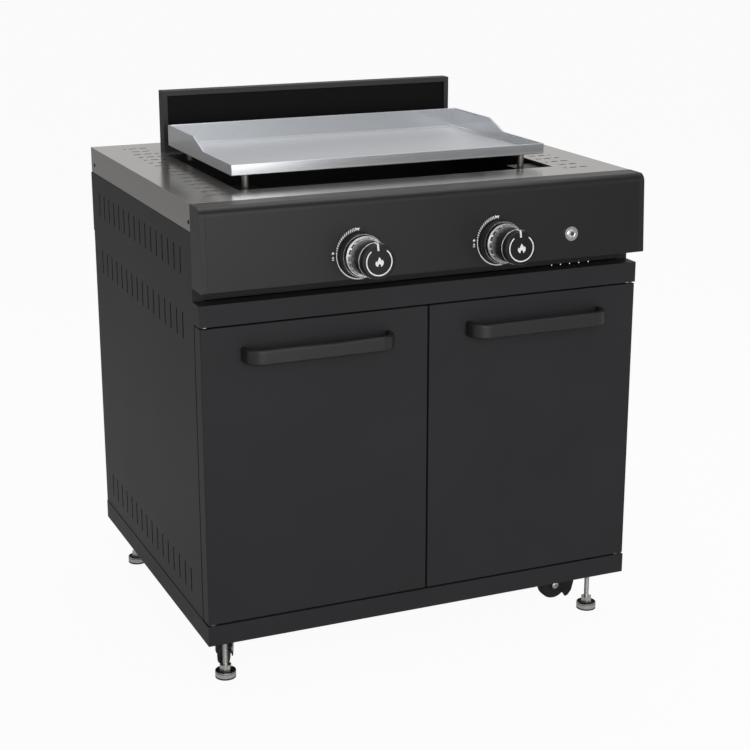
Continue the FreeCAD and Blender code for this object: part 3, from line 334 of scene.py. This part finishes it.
def moulded(name, shade, roughness, grain=700, depth=0.04 * MM, specular=0.4):
    """Moulded plastic with a spark-eroded grain."""
    def build(net):
        speck = cloud(net, place_on(net), grain, 2, 0.6)
        wide = cloud(net, place_on(net), 40, 2, 0.5)
        return {
            "Base Color": blend(net, wide, tint(shade, 0.8), tint(shade, 1.2)),
            "Roughness": roughness + 0.14 * (speck - 0.5),
            "Normal": relief(net, speck, depth, 0.6, eased(net, 0.6 * MM)),
        }
    return finish(name, build, Specular_IOR_Level=specular)


def knob_plastic(name, joint):
    """Black knob: a satin skirt, fine ribs round the front of the barrel, and a glossy face."""
    rib_count = 96.0

    def build(net):
        local = place_on(net, move=tuple(joint["pos_m"]), turn=(lean_of(joint), 0, 0))
        across, up, height = split(net, local)
        ribs = net.maths("SINE", rib_count * net.maths("ARCTAN2", across, up))
        ribbed = (height > WAIST + 1.5 * MM) * (height < FACE - 2.5 * MM)
        face = height > FACE - 0.5 * MM
        speck = cloud(net, place_on(net), 800, 2, 0.6)
        return {
            "Base Color": blend(net, speck, tint((0.006, 0.006, 0.007)),
                                tint((0.011, 0.011, 0.012))),
            "Roughness": 0.36 + 0.12 * (speck - 0.5) - 0.2 * face,
            "Normal": relief(net, ribbed * (0.5 + 0.5 * ribs), 0.4 * MM, 0.8, eased(net, 0.6 * MM)),
        }
    return finish(name, build, Specular_IOR_Level=0.45)


def button_metal(name, joint):
    """Chrome push button with a dished middle, its base colour painted dark there as a painted reflection inside a
    bright rim.
    """
    low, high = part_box("igniter_button")

    def build(net):
        local = place_on(net, move=tuple((low + high) / 2), turn=(lean_of(joint), 0, 0))
        across, up, _ = split(net, local)
        centimetres = 100.0 * (across * across + up * up) ** 0.5
        # The dish mask shapes the dish and also the painted reflection: a near black base colour in the middle and
        # bright chrome at the rim
        dish = ramped(net, centimetres, (0.3, 0.0), (0.52, 1.0))
        return {
            "Base Color": blend(net, dish, tint((0.1, 0.1, 0.1)), tint((0.86, 0.86, 0.84))),
            "Roughness": 0.3 - 0.16 * dish,
            "Normal": relief(net, dish, 0.8 * MM, 0.9, eased(net, 0.6 * MM)),
        }
    return finish(name, build, Metallic=1.0)


def foot_metal(name):
    """Zinc-plated foot whose dish is black inside and stands on a black rubber sole."""
    def build(net):
        spot = place_on(net)
        height = split(net, spot)[2]
        mottle = cloud(net, spot, 260, 3, 0.6)
        zinc = blend(net, mottle, tint((0.55, 0.55, 0.52)), tint((0.74, 0.74, 0.71)))
        sole = height < 2.9 * MM
        dish = (height > 9.8 * MM) * (height < 10.9 * MM)
        dark = sole + dish
        return {
            "Base Color": blend(net, dark, zinc, tint((0.012, 0.012, 0.012))),
            "Metallic": 1 - dark,
            "Roughness": 0.26 + 0.12 * mottle + 0.25 * dark,
            "Normal": relief(net, mottle, 0.05 * MM, 0.5, eased(net, 0.4 * MM)),
        }
    return finish(name, build)


def electrode_glaze(name, edge):
    """White glazed ceramic up to a height, bare steel above it."""
    def build(net):
        spot = place_on(net)
        steel = split(net, spot)[2] > edge
        stain = cloud(net, spot, 180, 4, 0.6)
        glaze = blend(net, stain, tint((0.72, 0.69, 0.62)), tint((0.82, 0.8, 0.75)))
        return {
            "Base Color": blend(net, steel, glaze, tint((0.5, 0.48, 0.45))),
            "Metallic": 1.0 * steel,
            "Roughness": 0.25 + 0.2 * stain,
            "Normal": relief(net, stain, 0.05 * MM, 0.4),
        }
    return finish(name, build)


def printed(name, shade):
    """Screen-printed ink with a slightly broken edge to its tone."""
    def build(net):
        wear = cloud(net, place_on(net), 700, 4, 0.7)
        return {
            "Base Color": blend(net, ramped(net, wear, (0.35, 1.0), (0.6, 0.0)), tint(shade),
                                tint(shade, 0.86)),
            "Roughness": 0.4 + 0.2 * wear,
        }
    return finish(name, build, Specular_IOR_Level=0.3)


CABINET_PAINT = powder_coat("cabinet_powder_coat", (0.0262, 0.0263, 0.0285), 0.45, 0.15)
PANEL_PAINT = powder_coat("panel_powder_coat", (0.0112, 0.0108, 0.0106), 0.36, 0.32)
HANDLE_PAINT = powder_coat("handle_powder_coat", (0.015, 0.015, 0.016), 0.34, 0.45, 3 * MM)
SPLASH_PAINT = powder_coat("backsplash_paint", (0.029, 0.028, 0.0285), 0.5, 0.28)
SPLASH_SHEET = powder_coat("backsplash_sheet_paint", (0.0028, 0.0028, 0.003), 0.55, 0.1)
TOP_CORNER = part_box("worktop")[1]
# The worktop's vents carry a painted shadow on their cut edges, and its aprons painted shade
WORKTOP_STEEL = brushed(
    "worktop_brushed_steel", (0.45, 0.431, 0.409), (6, 900, 900), 0.17, 0.004 * MM, 0.8 * MM,
    haze=0.2, vents=(TOP_CORNER.z - 1.3 * MM, TOP_CORNER.z - 0.05 * MM, TOP_CORNER.x - 4 * MM))
GRIDDLE_STEEL = brushed(
    "griddle_satin_steel", (0.62, 0.633, 0.655), (8, 700, 700), 0.17, 0.006 * MM, 2 * MM,
    satin=0.36)
BOX_ENAMEL = enamel("burner_box_enamel", (0.024, 0.024, 0.025), 0.36)
BURNER_IRON = cast_iron("burner_cast_iron", (0.014, 0.0135, 0.013))
GALVANISED = spangled("galvanised_sheet", (0.52, 0.53, 0.54))
BRASS = plain_metal("tap_brass", (0.62, 0.46, 0.22), 0.34)
PIPE_METAL = plain_metal("supply_pipe_steel", (0.5, 0.5, 0.5), 0.38)
CHROME = plain_metal("bright_chrome", (0.82, 0.82, 0.83), 0.12, 200, 0.02 * MM)
RING_CHROME = plain_metal("knob_ring_chrome", (0.6, 0.6, 0.61), 0.24, 200, 0.02 * MM)
BLACK_OXIDE = plain_metal("black_oxide_steel", (0.06, 0.06, 0.062), 0.36)
PEG_STEEL = plain_metal("peg_steel", (0.27, 0.26, 0.25), 0.42)
ZINC = plain_metal("zinc_plate", (0.66, 0.66, 0.63), 0.3)
BLACK_PLASTIC = moulded("satin_black_plastic", (0.0085, 0.0085, 0.009), 0.42)
CASTER_PLASTIC = moulded("caster_black_plastic", (0.009, 0.009, 0.009), 0.38)
TYRE = moulded("wheel_tread", (0.013, 0.013, 0.013), 0.6, 300, 0.1 * MM, 0.3)
FOOT_METAL = foot_metal("foot_zinc_and_rubber")
ELECTRODE = electrode_glaze("electrode_glaze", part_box("spark_electrodes")[1].z - 7 * MM)
WHITE_PRINT = printed("white_print", (0.93, 0.93, 0.93))
RUBBER = moulded("black_rubber", (0.011, 0.011, 0.011), 0.62, 400, 0.08 * MM, 0.3)

# The finish of each material slot, and the nodes that have another
SLOT_FINISHES = {
    "powder_coat": CABINET_PAINT, "backsplash_black": SPLASH_SHEET, "worktop_steel": WORKTOP_STEEL,
    "griddle_steel": GRIDDLE_STEEL, "black_enamel": BOX_ENAMEL, "galvanised": GALVANISED,
    "burner_iron": BURNER_IRON, "electrode": ELECTRODE, "valve_brass": BRASS,
    "pipe_steel": PIPE_METAL, "black_plastic": BLACK_PLASTIC, "chrome": CHROME, "zinc": ZINC,
    "caster_plastic": CASTER_PLASTIC,
}
NODE_FINISHES = {
    "control_panel": PANEL_PAINT, "end_caps": BLACK_PLASTIC, "left_handle": HANDLE_PAINT,
    "right_handle": HANDLE_PAINT, "backsplash_frame": SPLASH_PAINT, "griddle_feet": PEG_STEEL,
    "module_floor": BOX_ENAMEL, "left_knob_ring": RING_CHROME, "right_knob_ring": RING_CHROME,
    "igniter_button": button_metal("igniter_chrome", JOINTS["igniter_push"]),
    "left_knob": knob_plastic("left_knob_plastic", JOINTS["left_knob_turn"]),
    "right_knob": knob_plastic("right_knob_plastic", JOINTS["right_knob_turn"]),
}


def dress_frame():
    """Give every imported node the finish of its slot, or its own."""
    for part in frame["record"]["subparts"]:
        name = part["node"]
        material = NODE_FINISHES.get(name, SLOT_FINISHES[part["material_slot"]])
        if name.startswith("foot_") and name != "foot_nuts":
            material = FOOT_METAL
        if name.endswith("_wheel"):
            material = TYRE
        item = frame["nodes"][name]
        if not item.material_slots:
            item.data.materials.append(material)
        for slot in item.material_slots:
            slot.material = material


# Pieces
def piece_from(name, mesh, material, body, where=None):
    """A finished piece at the origin, riding on a body, with its place in its mesh."""
    if where is not None:
        mesh.transform(where)
    mesh.materials.clear()
    mesh.materials.append(material)
    piece = bpy.data.objects.new(name, mesh)
    bpy.context.scene.collection.objects.link(piece)
    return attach(piece, body)


def mesh_from(name, shape, smooth=False):
    """A mesh from a bmesh, with merged doubles and outward normals."""
    bmesh.ops.remove_doubles(shape, verts=shape.verts, dist=1e-7)
    bmesh.ops.recalc_face_normals(shape, faces=shape.faces)
    mesh = bpy.data.meshes.new(name)
    shape.to_mesh(mesh)
    shape.free()
    for face in mesh.polygons:
        face.use_smooth = smooth
    return mesh


def turned(name, profile, steps):
    """A closed outline of radius and height, turned once round Z."""
    shape = bmesh.new()
    rings = []
    for radius, height in profile:
        ring = []
        for step in range(steps):
            angle = 2 * math.pi * step / steps
            spot = (radius * math.cos(angle), radius * math.sin(angle), height)
            ring.append(shape.verts.new(spot))
        rings.append(ring)
    for first, second in zip(rings, rings[1:] + rings[:1]):
        for step in range(steps):
            after = (step + 1) % steps
            corners = [first[step], first[after], second[after], second[step]]
            if (corners[0].co - corners[3].co).length > 1e-9:
                shape.faces.new(corners)
    bmesh.ops.dissolve_degenerate(shape, dist=1e-8, edges=shape.edges)
    return mesh_from(name, shape, True)


def slab(shape, outline, low, high):
    """Add an upright slab over a flat outline to a bmesh."""
    bottom = [shape.verts.new((x, y, low)) for x, y in outline]
    top = [shape.verts.new((x, y, high)) for x, y in outline]
    count = len(outline)
    shape.faces.new(bottom[::-1])
    shape.faces.new(top)
    for number in range(count):
        after = (number + 1) % count
        shape.faces.new((bottom[number], bottom[after], top[after], top[number]))


def arc_band(shape, inner, outer, start, end, low, high, steps=72):
    """Add a flat curved band with two ends, its angles in degrees from the right, to a bmesh."""
    rows = []
    section = ((inner, low), (outer, low), (outer, high), (inner, high))
    for step in range(steps + 1):
        angle = math.radians(start + (end - start) * step / steps)
        across, up = math.cos(angle), math.sin(angle)
        rows.append([shape.verts.new((radius * across, radius * up, height))
                     for radius, height in section])
    for first, second in zip(rows, rows[1:]):
        for number in range(4):
            after = (number + 1) % 4
            shape.faces.new((first[number], first[after], second[after], second[number]))
    shape.faces.new(rows[0][::-1])
    shape.faces.new(rows[-1])


def in_metres(outline, across=1.0, up=1.0, right=0.0, rise=0.0):
    """An outline in millimetres, stretched and then moved, in metres."""
    return [((across * x + right) * MM, (up * y + rise) * MM) for x, y in outline]


# Geometry Nodes
def node_piece(name, build, inputs, mesh=None):
    """Run a geometry tree on a mesh and keep its result as a plain mesh."""
    tree = bpy.data.node_groups.new(name + "_tree", "GeometryNodeTree")
    tree.interface.new_socket("Geometry", in_out="INPUT", socket_type="NodeSocketGeometry")
    kinds = {float: "NodeSocketFloat", int: "NodeSocketInt"}
    known = {}
    for label, value in inputs.items():
        kind = kinds.get(type(value), "NodeSocketMaterial")
        known[label] = tree.interface.new_socket(label, in_out="INPUT", socket_type=kind).identifier
    tree.interface.new_socket("Geometry", in_out="OUTPUT", socket_type="NodeSocketGeometry")
    net = Net(tree)
    group = net.add("NodeGroupInput")
    made = build(net, group)
    made = net.add("GeometryNodeRealizeInstances", None, {0: made})
    made = net.add("GeometryNodeSetMaterial", None, {
        "Geometry": made, "Material": group.other("Material")})
    net.add("NodeGroupOutput", None, {0: made})
    carrier = bpy.data.objects.new(name + "_carrier", mesh or bpy.data.meshes.new(name + "_seed"))
    bpy.context.scene.collection.objects.link(carrier)
    modifier = carrier.modifiers.new("Tree", "NODES")
    modifier.node_group = tree
    for label, value in inputs.items():
        modifier[known[label]] = value
    graph = bpy.context.evaluated_depsgraph_get()
    result = bpy.data.meshes.new_from_object(carrier.evaluated_get(graph))
    result.name = name
    carrier.modifiers.clear()
    bpy.data.objects.remove(carrier)
    return result


def screw_heads(name, places, radius, material, body):
    """Low cross-recessed heads on a list of (place, direction) pairs."""
    seed = bpy.data.meshes.new(name + "_places")
    seed.from_pydata([place for place, facing in places], [], [])
    facings = seed.attributes.new("facing", "FLOAT_VECTOR", "POINT")
    for number, (place, facing) in enumerate(places):
        facings.data[number].vector = facing

    def build(net, group):
        reach = group.other("Head radius")
        shoulder = 0.93 * reach
        thick = 0.2 * reach
        rim = net.add("GeometryNodeMeshCone", {"fill_type": "NGON"}, {
            "Vertices": 22, "Radius Top": shoulder, "Radius Bottom": reach, "Depth": thick})
        crown = net.add("GeometryNodeMeshCone", {"fill_type": "NGON"}, {
            "Vertices": 22, "Radius Top": 0.55 * reach, "Radius Bottom": shoulder,
            "Depth": 0.12 * reach})
        crown = net.add("GeometryNodeTransform", None, {
            "Geometry": crown, "Translation": vector(net, z=thick)})
        head = net.add("GeometryNodeMeshBoolean", {"operation": "UNION"}, {"Mesh": rim}, "Mesh")
        net.tree.links.new(crown.socket, head.socket.node.inputs["Mesh 2"])
        cross = net.add("GeometryNodeMeshBoolean", {"operation": "DIFFERENCE"},
                        {"Mesh 1": head}, "Mesh")
        for length, width in ((0.24, 1.1), (1.1, 0.24)):
            size = vector(net, length * reach, width * reach, 0.2 * reach)
            arm = net.add("GeometryNodeMeshCube", None, {"Size": size})
            arm = net.add("GeometryNodeTransform", None, {
                "Geometry": arm, "Translation": vector(net, z=0.32 * reach)})
            net.tree.links.new(arm.socket, cross.socket.node.inputs["Mesh 2"])
        facing = net.add("GeometryNodeInputNamedAttribute", {"data_type": "FLOAT_VECTOR"},
                         {"Name": "facing"})
        turn = net.add("FunctionNodeAlignRotationToVector", {"axis": "Z"}, {"Vector": facing})
        return net.add("GeometryNodeInstanceOnPoints", None, {
            "Points": group.other("Geometry"), "Instance": cross, "Rotation": turn})

    mesh = node_piece(name, build, {"Head radius": radius, "Material": material}, seed)
    piece_from(name, mesh, material, body)


def bars_round(name, joint, rise, sizes):
    """Small bars on an arc round a knob's axis, slanted and growing from the first to the last."""
    def build(net, group):
        count = group.other("Count")
        points = net.add("GeometryNodePoints", None, {"Count": count})
        share = net.add("GeometryNodeInputIndex") / (count - 1)
        first, last = group.other("First angle"), group.other("Last angle")
        shortest, longest = group.other("Shortest"), group.other("Longest")
        angle = first + share * (last - first)
        length = shortest + share * (longest - shortest)
        reach = group.other("Radius") + 0.5 * length
        spot = vector(net, reach * net.maths("COSINE", angle), reach * net.maths("SINE", angle))
        placed = net.add("GeometryNodeSetPosition", None, {"Geometry": points, "Position": spot})
        bar = net.add("GeometryNodeMeshCube", None, {"Size": (1.0, 1.0, 1.0)})
        slant = vector(net, z=angle + group.other("Slant"))
        size = vector(net, length, group.other("Width"), group.other("Thickness"))
        return net.add("GeometryNodeInstanceOnPoints", None, {
            "Points": placed, "Instance": bar, "Rotation": slant, "Scale": size})

    mesh = node_piece(name, build, sizes)
    where = stand_of(joint) @ Matrix.Translation((0, 0, rise))
    piece_from(name, mesh, sizes["Material"], "carcass", where)


def dial_ticks(name, joint):
    """Printed ticks that grow along the upper part of the dial."""
    bars_round(name, joint, 0, {
        "Count": 14, "First angle": math.radians(DIAL_START), "Last angle": math.radians(99),
        "Radius": 38.6 * MM, "Shortest": 2.6 * MM, "Longest": 6.2 * MM, "Width": 1.7 * MM,
        "Slant": math.radians(-30), "Thickness": 0.2 * MM, "Material": WHITE_PRINT,
    })


def collar_beads(name, joint):
    """A fine row of bright beads on the rim of a knob's collar."""
    bars_round(name, joint, COLLAR, {
        "Count": 72, "First angle": 0.0, "Last angle": math.radians(355),
        "Radius": 33.9 * MM, "Shortest": 1.5 * MM, "Longest": 1.5 * MM, "Width": 1.3 * MM,
        "Slant": 0.0, "Thickness": 0.5 * MM, "Material": CHROME,
    })


def stud_thread(name, foot):
    """A thread's ridge wound round the stud of a foot."""
    start, end = 22 * MM, 76 * MM
    pitch = 1.5 * MM

    def build(net, group):
        radius = group.other("Radius")
        spiral = net.add("GeometryNodeCurveSpiral", None, {
            "Resolution": 18, "Rotations": group.other("Turns"), "Start Radius": radius,
            "End Radius": radius, "Height": group.other("Length")})
        ridge = net.add("GeometryNodeCurvePrimitiveCircle", None, {
            "Resolution": 4, "Radius": group.other("Ridge")})
        return net.add("GeometryNodeCurveToMesh", None, {
            "Curve": spiral, "Profile Curve": ridge, "Fill Caps": True})

    mesh = node_piece(name, build, {
        "Turns": (end - start) / pitch, "Radius": 3.95 * MM, "Length": end - start,
        "Ridge": 0.42 * pitch, "Material": ZINC})
    low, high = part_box(foot)
    where = Matrix.Translation(((low.x + high.x) / 2, (low.y + high.y) / 2, start))
    piece_from(name, mesh, ZINC, foot, where)


# Dials and knobs
FLAME = ((-1.1, 2.4), (-2.2, 0.0), (-2.6, 1.2), (-3.5, 0.6), (-3.9, -1.4), (-3.0, -3.4),
         (-1.3, -4.4), (-1.0, -3.0), (0.2, -1.2), (1.7, -3.0), (1.4, -4.6), (2.9, -3.7),
         (4.1, -2.0), (4.3, 0.2), (3.3, 2.3), (2.5, 1.2), (1.5, 3.2), (0, 5.2))


def dial(side):
    """Printed marks round a knob: an arc, growing ticks with a tip, and small flame signs."""
    joint = JOINTS[side + "_knob_turn"]
    ink = (-0.05 * MM, 0.1 * MM)
    signs_at = -46
    shape = bmesh.new()
    arc_band(shape, 39.0 * MM, 40.3 * MM, DIAL_START, DIAL_BOLD, *ink)
    arc_band(shape, 38.7 * MM, 40.5 * MM, DIAL_BOLD, DIAL_END, *ink)
    tip = []
    for degrees, radius in ((93, 40.4), (90.5, 38.4), (89, 41.6), (88, 43.6), (97.5, 43.2), (97, 39.6)):
        angle = math.radians(degrees)
        tip.append((radius * math.cos(angle), radius * math.sin(angle)))
    slab(shape, in_metres(tip), *ink)
    for rise, size in ((5.5, 0.52), (-1.5, 0.42)):
        slab(shape, in_metres(FLAME, size, size, signs_at, rise), *ink)
    slab(shape, in_metres(((-2, -0.6), (2, -0.6), (2, 0.6), (-2, 0.6)), 1, 1, signs_at, -5.2), *ink)
    mesh = mesh_from(side + "_dial_print", shape)
    piece_from(side + "_dial_print", mesh, WHITE_PRINT, "carcass", stand_of(joint))
    dial_ticks(side + "_dial_ticks", joint)
    collar_beads(side + "_collar_beads", joint)


def knob_face(side):
    """What the knob's front carries: a broken ring, a flame, a pointer and a bright waist line."""
    stand = stand_of(JOINTS[side + "_knob_turn"])
    body = side + "_knob"
    ink = (FACE - 0.05 * MM, FACE + 0.12 * MM)
    gap_end, gap_start = 128, 412
    shape = bmesh.new()
    arc_band(shape, 20.6 * MM, 22.6 * MM, gap_end, gap_start, *ink, 96)
    slab(shape, in_metres(FLAME, 1.75, 1.6, 0, -0.6), *ink)
    mesh = mesh_from(body + "_print", shape)
    piece_from(body + "_print", mesh, WHITE_PRINT, body, stand)

    shape = bmesh.new()
    outline = ((17.6, -0.2), (26.6, -0.2), (28.3, -1.9), (28.3, -14), (29.2, -14), (29.2, -0.2),
               (28.2, 0.9), (18.4, 0.9), (17.6, 0.4))
    half = 1.6 * MM
    slab(shape, in_metres(outline), -half, half)
    mesh = mesh_from(body + "_pointer", shape)
    upright = Matrix(((0, 0, 1, 0), (1, 0, 0, 0), (0, 1, 0, FACE), (0, 0, 0, 1)))
    turn = Matrix.Rotation(math.radians(4), 4, "Z")
    pointer = piece_from(body + "_pointer", mesh, WHITE_PRINT, body,
                         stand @ turn @ upright)
    rounding = pointer.modifiers.new("Rounding", "BEVEL")
    rounding.width = 0.35 * MM
    rounding.segments = 2

    ridge = ((28.3, -0.6), (29.0, -0.5), (29.15, 0), (29.0, 0.5), (28.3, 0.6))
    mesh = turned(body + "_waist_line", in_metres(ridge, rise=WAIST / MM), 96)
    piece_from(body + "_waist_line", mesh, CHROME, body, stand)


# Small hardware
SHEET_SCREW = 3.4 * MM


def apron_screws():
    """Two dark screws in each folded side of the worktop."""
    low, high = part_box("worktop")
    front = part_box("left_side_panel")[0].y + 12 * MM
    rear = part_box("upper_left_panel")[1].y - 22 * MM
    places = []
    for x, facing in ((low.x, (-1, 0, 0)), (high.x, (1, 0, 0))):
        for y in (front, rear):
            places.append(((x, y, low.z + 16 * MM), facing))
    screw_heads("apron_screws", places, SHEET_SCREW, BLACK_OXIDE, "carcass")


def back_screws():
    """Painted screws down both edges of the back, sunk a little into the sheet."""
    low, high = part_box("back_panel")
    upper_low, upper_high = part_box("upper_back_panel")
    sink = 0.8 * MM
    places = []
    for x in (low.x + 10 * MM, high.x - 10 * MM):
        for share in (0.04, 0.35, 0.65, 0.96):
            places.append(((x, high.y - sink, low.z + share * (high.z - low.z)), (0, 1, 0)))
        for z in (upper_low.z + 12 * MM, upper_high.z - 14 * MM):
            places.append(((x, upper_high.y - sink, z), (0, 1, 0)))
    screw_heads("panel_screws", places, SHEET_SCREW, BLACK_PLASTIC, "carcass")


def caster_screws():
    """Four screws under each caster's plate."""
    reach = 18.5 * MM
    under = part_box("caster_plates")[1].z - 2 * MM
    places = []
    for corner in CORNERS:
        x, y = JOINTS[f"caster_{corner}_turn"]["pos_m"][:2]
        for across in (-reach, reach):
            for along in (-reach, reach):
                places.append(((x + across, y + along, under), (0, 0, -1)))
    screw_heads("caster_screws", places, 3 * MM, ZINC, "carcass")


def studs():
    """The threads of the four feet."""
    for corner in CORNERS:
        foot = "foot_" + corner
        stud_thread(foot + "_thread", foot)


def axle_caps():
    """Zinc domes on the ends of the wheels' axles."""
    half_axle, sink = 15 * MM, 1.2 * MM
    section = ((0, 0), (6.6, 0), (6.6, 0.5), (5.6, 1.0), (3.2, 1.5), (0, 1.7))
    for corner in CORNERS:
        name = f"caster_{corner}_axle_caps"
        joint = JOINTS[f"caster_{corner}_roll"]
        shape = bmesh.new()
        for side in (-1, 1):
            outward = side * Vector(joint["axis"]).normalized()
            dome = turned("dome", in_metres(section), 32)
            turn = outward.to_track_quat("Z", "Y").to_matrix().to_4x4()
            place = Vector(joint["pos_m"]) + (half_axle - sink) * outward
            dome.transform(Matrix.Translation(place) @ turn)
            shape.from_mesh(dome)
        mesh = mesh_from(name, shape, True)
        piece_from(name, mesh, ZINC, f"caster_{corner}_swivel")


def grommet(name, opening, bore, panel):
    """Rubber ring that lines a round hole in the back, given the opening through it and its radius."""
    near, far = OPENINGS[opening]
    low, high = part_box(panel)
    place = Vector(((near[0] + far[0]) / 2, (low.y + high.y) / 2, (near[2] + far[2]) / 2))
    section = ((-2.8, -1.1), (-1.8, -1.75), (2.5, -1.75), (3.6, -1.1), (3.6, -0.65), (-0.1, -0.65),
               (-0.1, 0.65), (3.6, 0.65), (3.6, 1.1), (2.5, 1.75), (-1.8, 1.75), (-2.8, 1.1))
    mesh = turned(name, in_metres(section, right=bore / MM), 72)
    where = Matrix.Translation(place) @ Matrix.Rotation(math.pi / 2, 4, "X")
    piece_from(name, mesh, RUBBER, "carcass", where)


# Studio
WHITE = tint((1, 1, 1))


def background_share(net):
    """How much of the white background a ray shows: all of it to the camera and through glass, and
    part of it in a reflection, because the flags of a studio stand in it."""
    seen = net.add("ShaderNodeLightPath", output="Is Camera Ray")
    return seen + seen.other("Is Transmission Ray") + 0.25 * seen.other("Is Glossy Ray")


def studio_floor():
    """A wide pale floor that keeps the object's shadow."""
    bpy.ops.mesh.primitive_plane_add(size=60)
    floor = bpy.context.object
    floor.name = "studio_floor"
    material = bpy.data.materials.new("studio_floor_paint")
    net = bare_tree(material)
    seen = background_share(net)
    pale = blend(net, seen, tint((0.54, 0.54, 0.54)), tint((0.95, 0.95, 0.95)))
    matt = net.add("ShaderNodeBsdfDiffuse", None, {"Color": pale})
    white = net.add("ShaderNodeEmission", None, {"Color": WHITE, "Strength": 1.0})
    both = net.add("ShaderNodeMixShader", None, {0: 0.95 * seen, 1: matt, 2: white})
    net.add("ShaderNodeOutputMaterial", None, {"Surface": both})
    floor.data.materials.append(material)


def studio_world():
    """A white backdrop. Its light comes from the front and the far right, less from the left, and
    fades towards the ceiling."""
    world = bpy.data.worlds.new("studio_world")
    bpy.context.scene.world = world
    net = bare_tree(world)
    x, y, z = split(net, net.add("ShaderNodeTexCoord", output="Generated"))
    rearward = 0.5 + 0.5 * (0.9 * y + 0.45 * x)
    level = ramped(net, rearward, (0.0, 0.6), (0.2, 0.66), (0.35, 0.34), (0.5, 0.18), (0.7, 0.06),
                   (0.82, 0.1), (0.95, 0.42), (1.0, 0.54))
    overhead = ramped(net, z, (0.0, 0.0), (0.25, 0.02), (1.0, 0.2))
    level = net.add("ShaderNodeMix", {"data_type": "RGBA", "blend_type": "SUBTRACT"},
                    {0: 1.0, 6: level, 7: overhead}, 2)
    colour = blend(net, background_share(net), level, WHITE)
    light = net.add("ShaderNodeBackground", None, {"Color": colour, "Strength": 1.0})
    net.add("ShaderNodeOutputWorld", None, {"Surface": light})


def lamp(name, place, size, power, aim):
    """A softbox: its size across and up in metres, its power in watts, and what it looks at."""
    data = bpy.data.lights.new(name, "AREA")
    data.shape = "RECTANGLE"
    data.size, data.size_y = size
    data.energy = power
    item = bpy.data.objects.new(name, data)
    item.location = place
    item.rotation_euler = (Vector(aim) - Vector(place)).to_track_quat("-Z", "Z").to_euler()
    item.visible_camera = False
    bpy.context.scene.collection.objects.link(item)


def camera():
    """The photograph's place and angle of view."""
    data = bpy.data.cameras.new("photo_camera")
    data.lens = 80.8
    data.sensor_width = 36
    data.clip_end = 200
    item = bpy.data.objects.new("photo_camera", data)
    item.location = (-1.168, -2.734, 1.3236)
    item.rotation_euler = Euler((math.radians(73.38), 0, math.radians(-23.51)))
    bpy.context.scene.collection.objects.link(item)
    bpy.context.scene.camera = item


# The station and its studio
camera()
dress_frame()
for side in ("left", "right"):
    dial(side)
    knob_face(side)
apron_screws()
back_screws()
caster_screws()
studs()
axle_caps()
grommet("hose_grommet", "hose_outlet", 30 * MM, "back_panel")
grommet("inlet_grommet", "hose_port", 22 * MM, "upper_back_panel")
studio_floor()
studio_world()
lamp("key_softbox", (-0.6, -3.7, 1.35), (3.4, 2.6), 66, (-0.6, 0, 1.35))
lamp("top_softbox", (0.3, 0.4, 3.2), (2.6, 2.6), 42, (0, 0, 0.5))
lamp("fill_softbox", (3.0, -1.6, 1.6), (1.6, 2.0), 8, (0, 0, 0.5))
bpy.context.scene.view_settings.view_transform = "Standard"
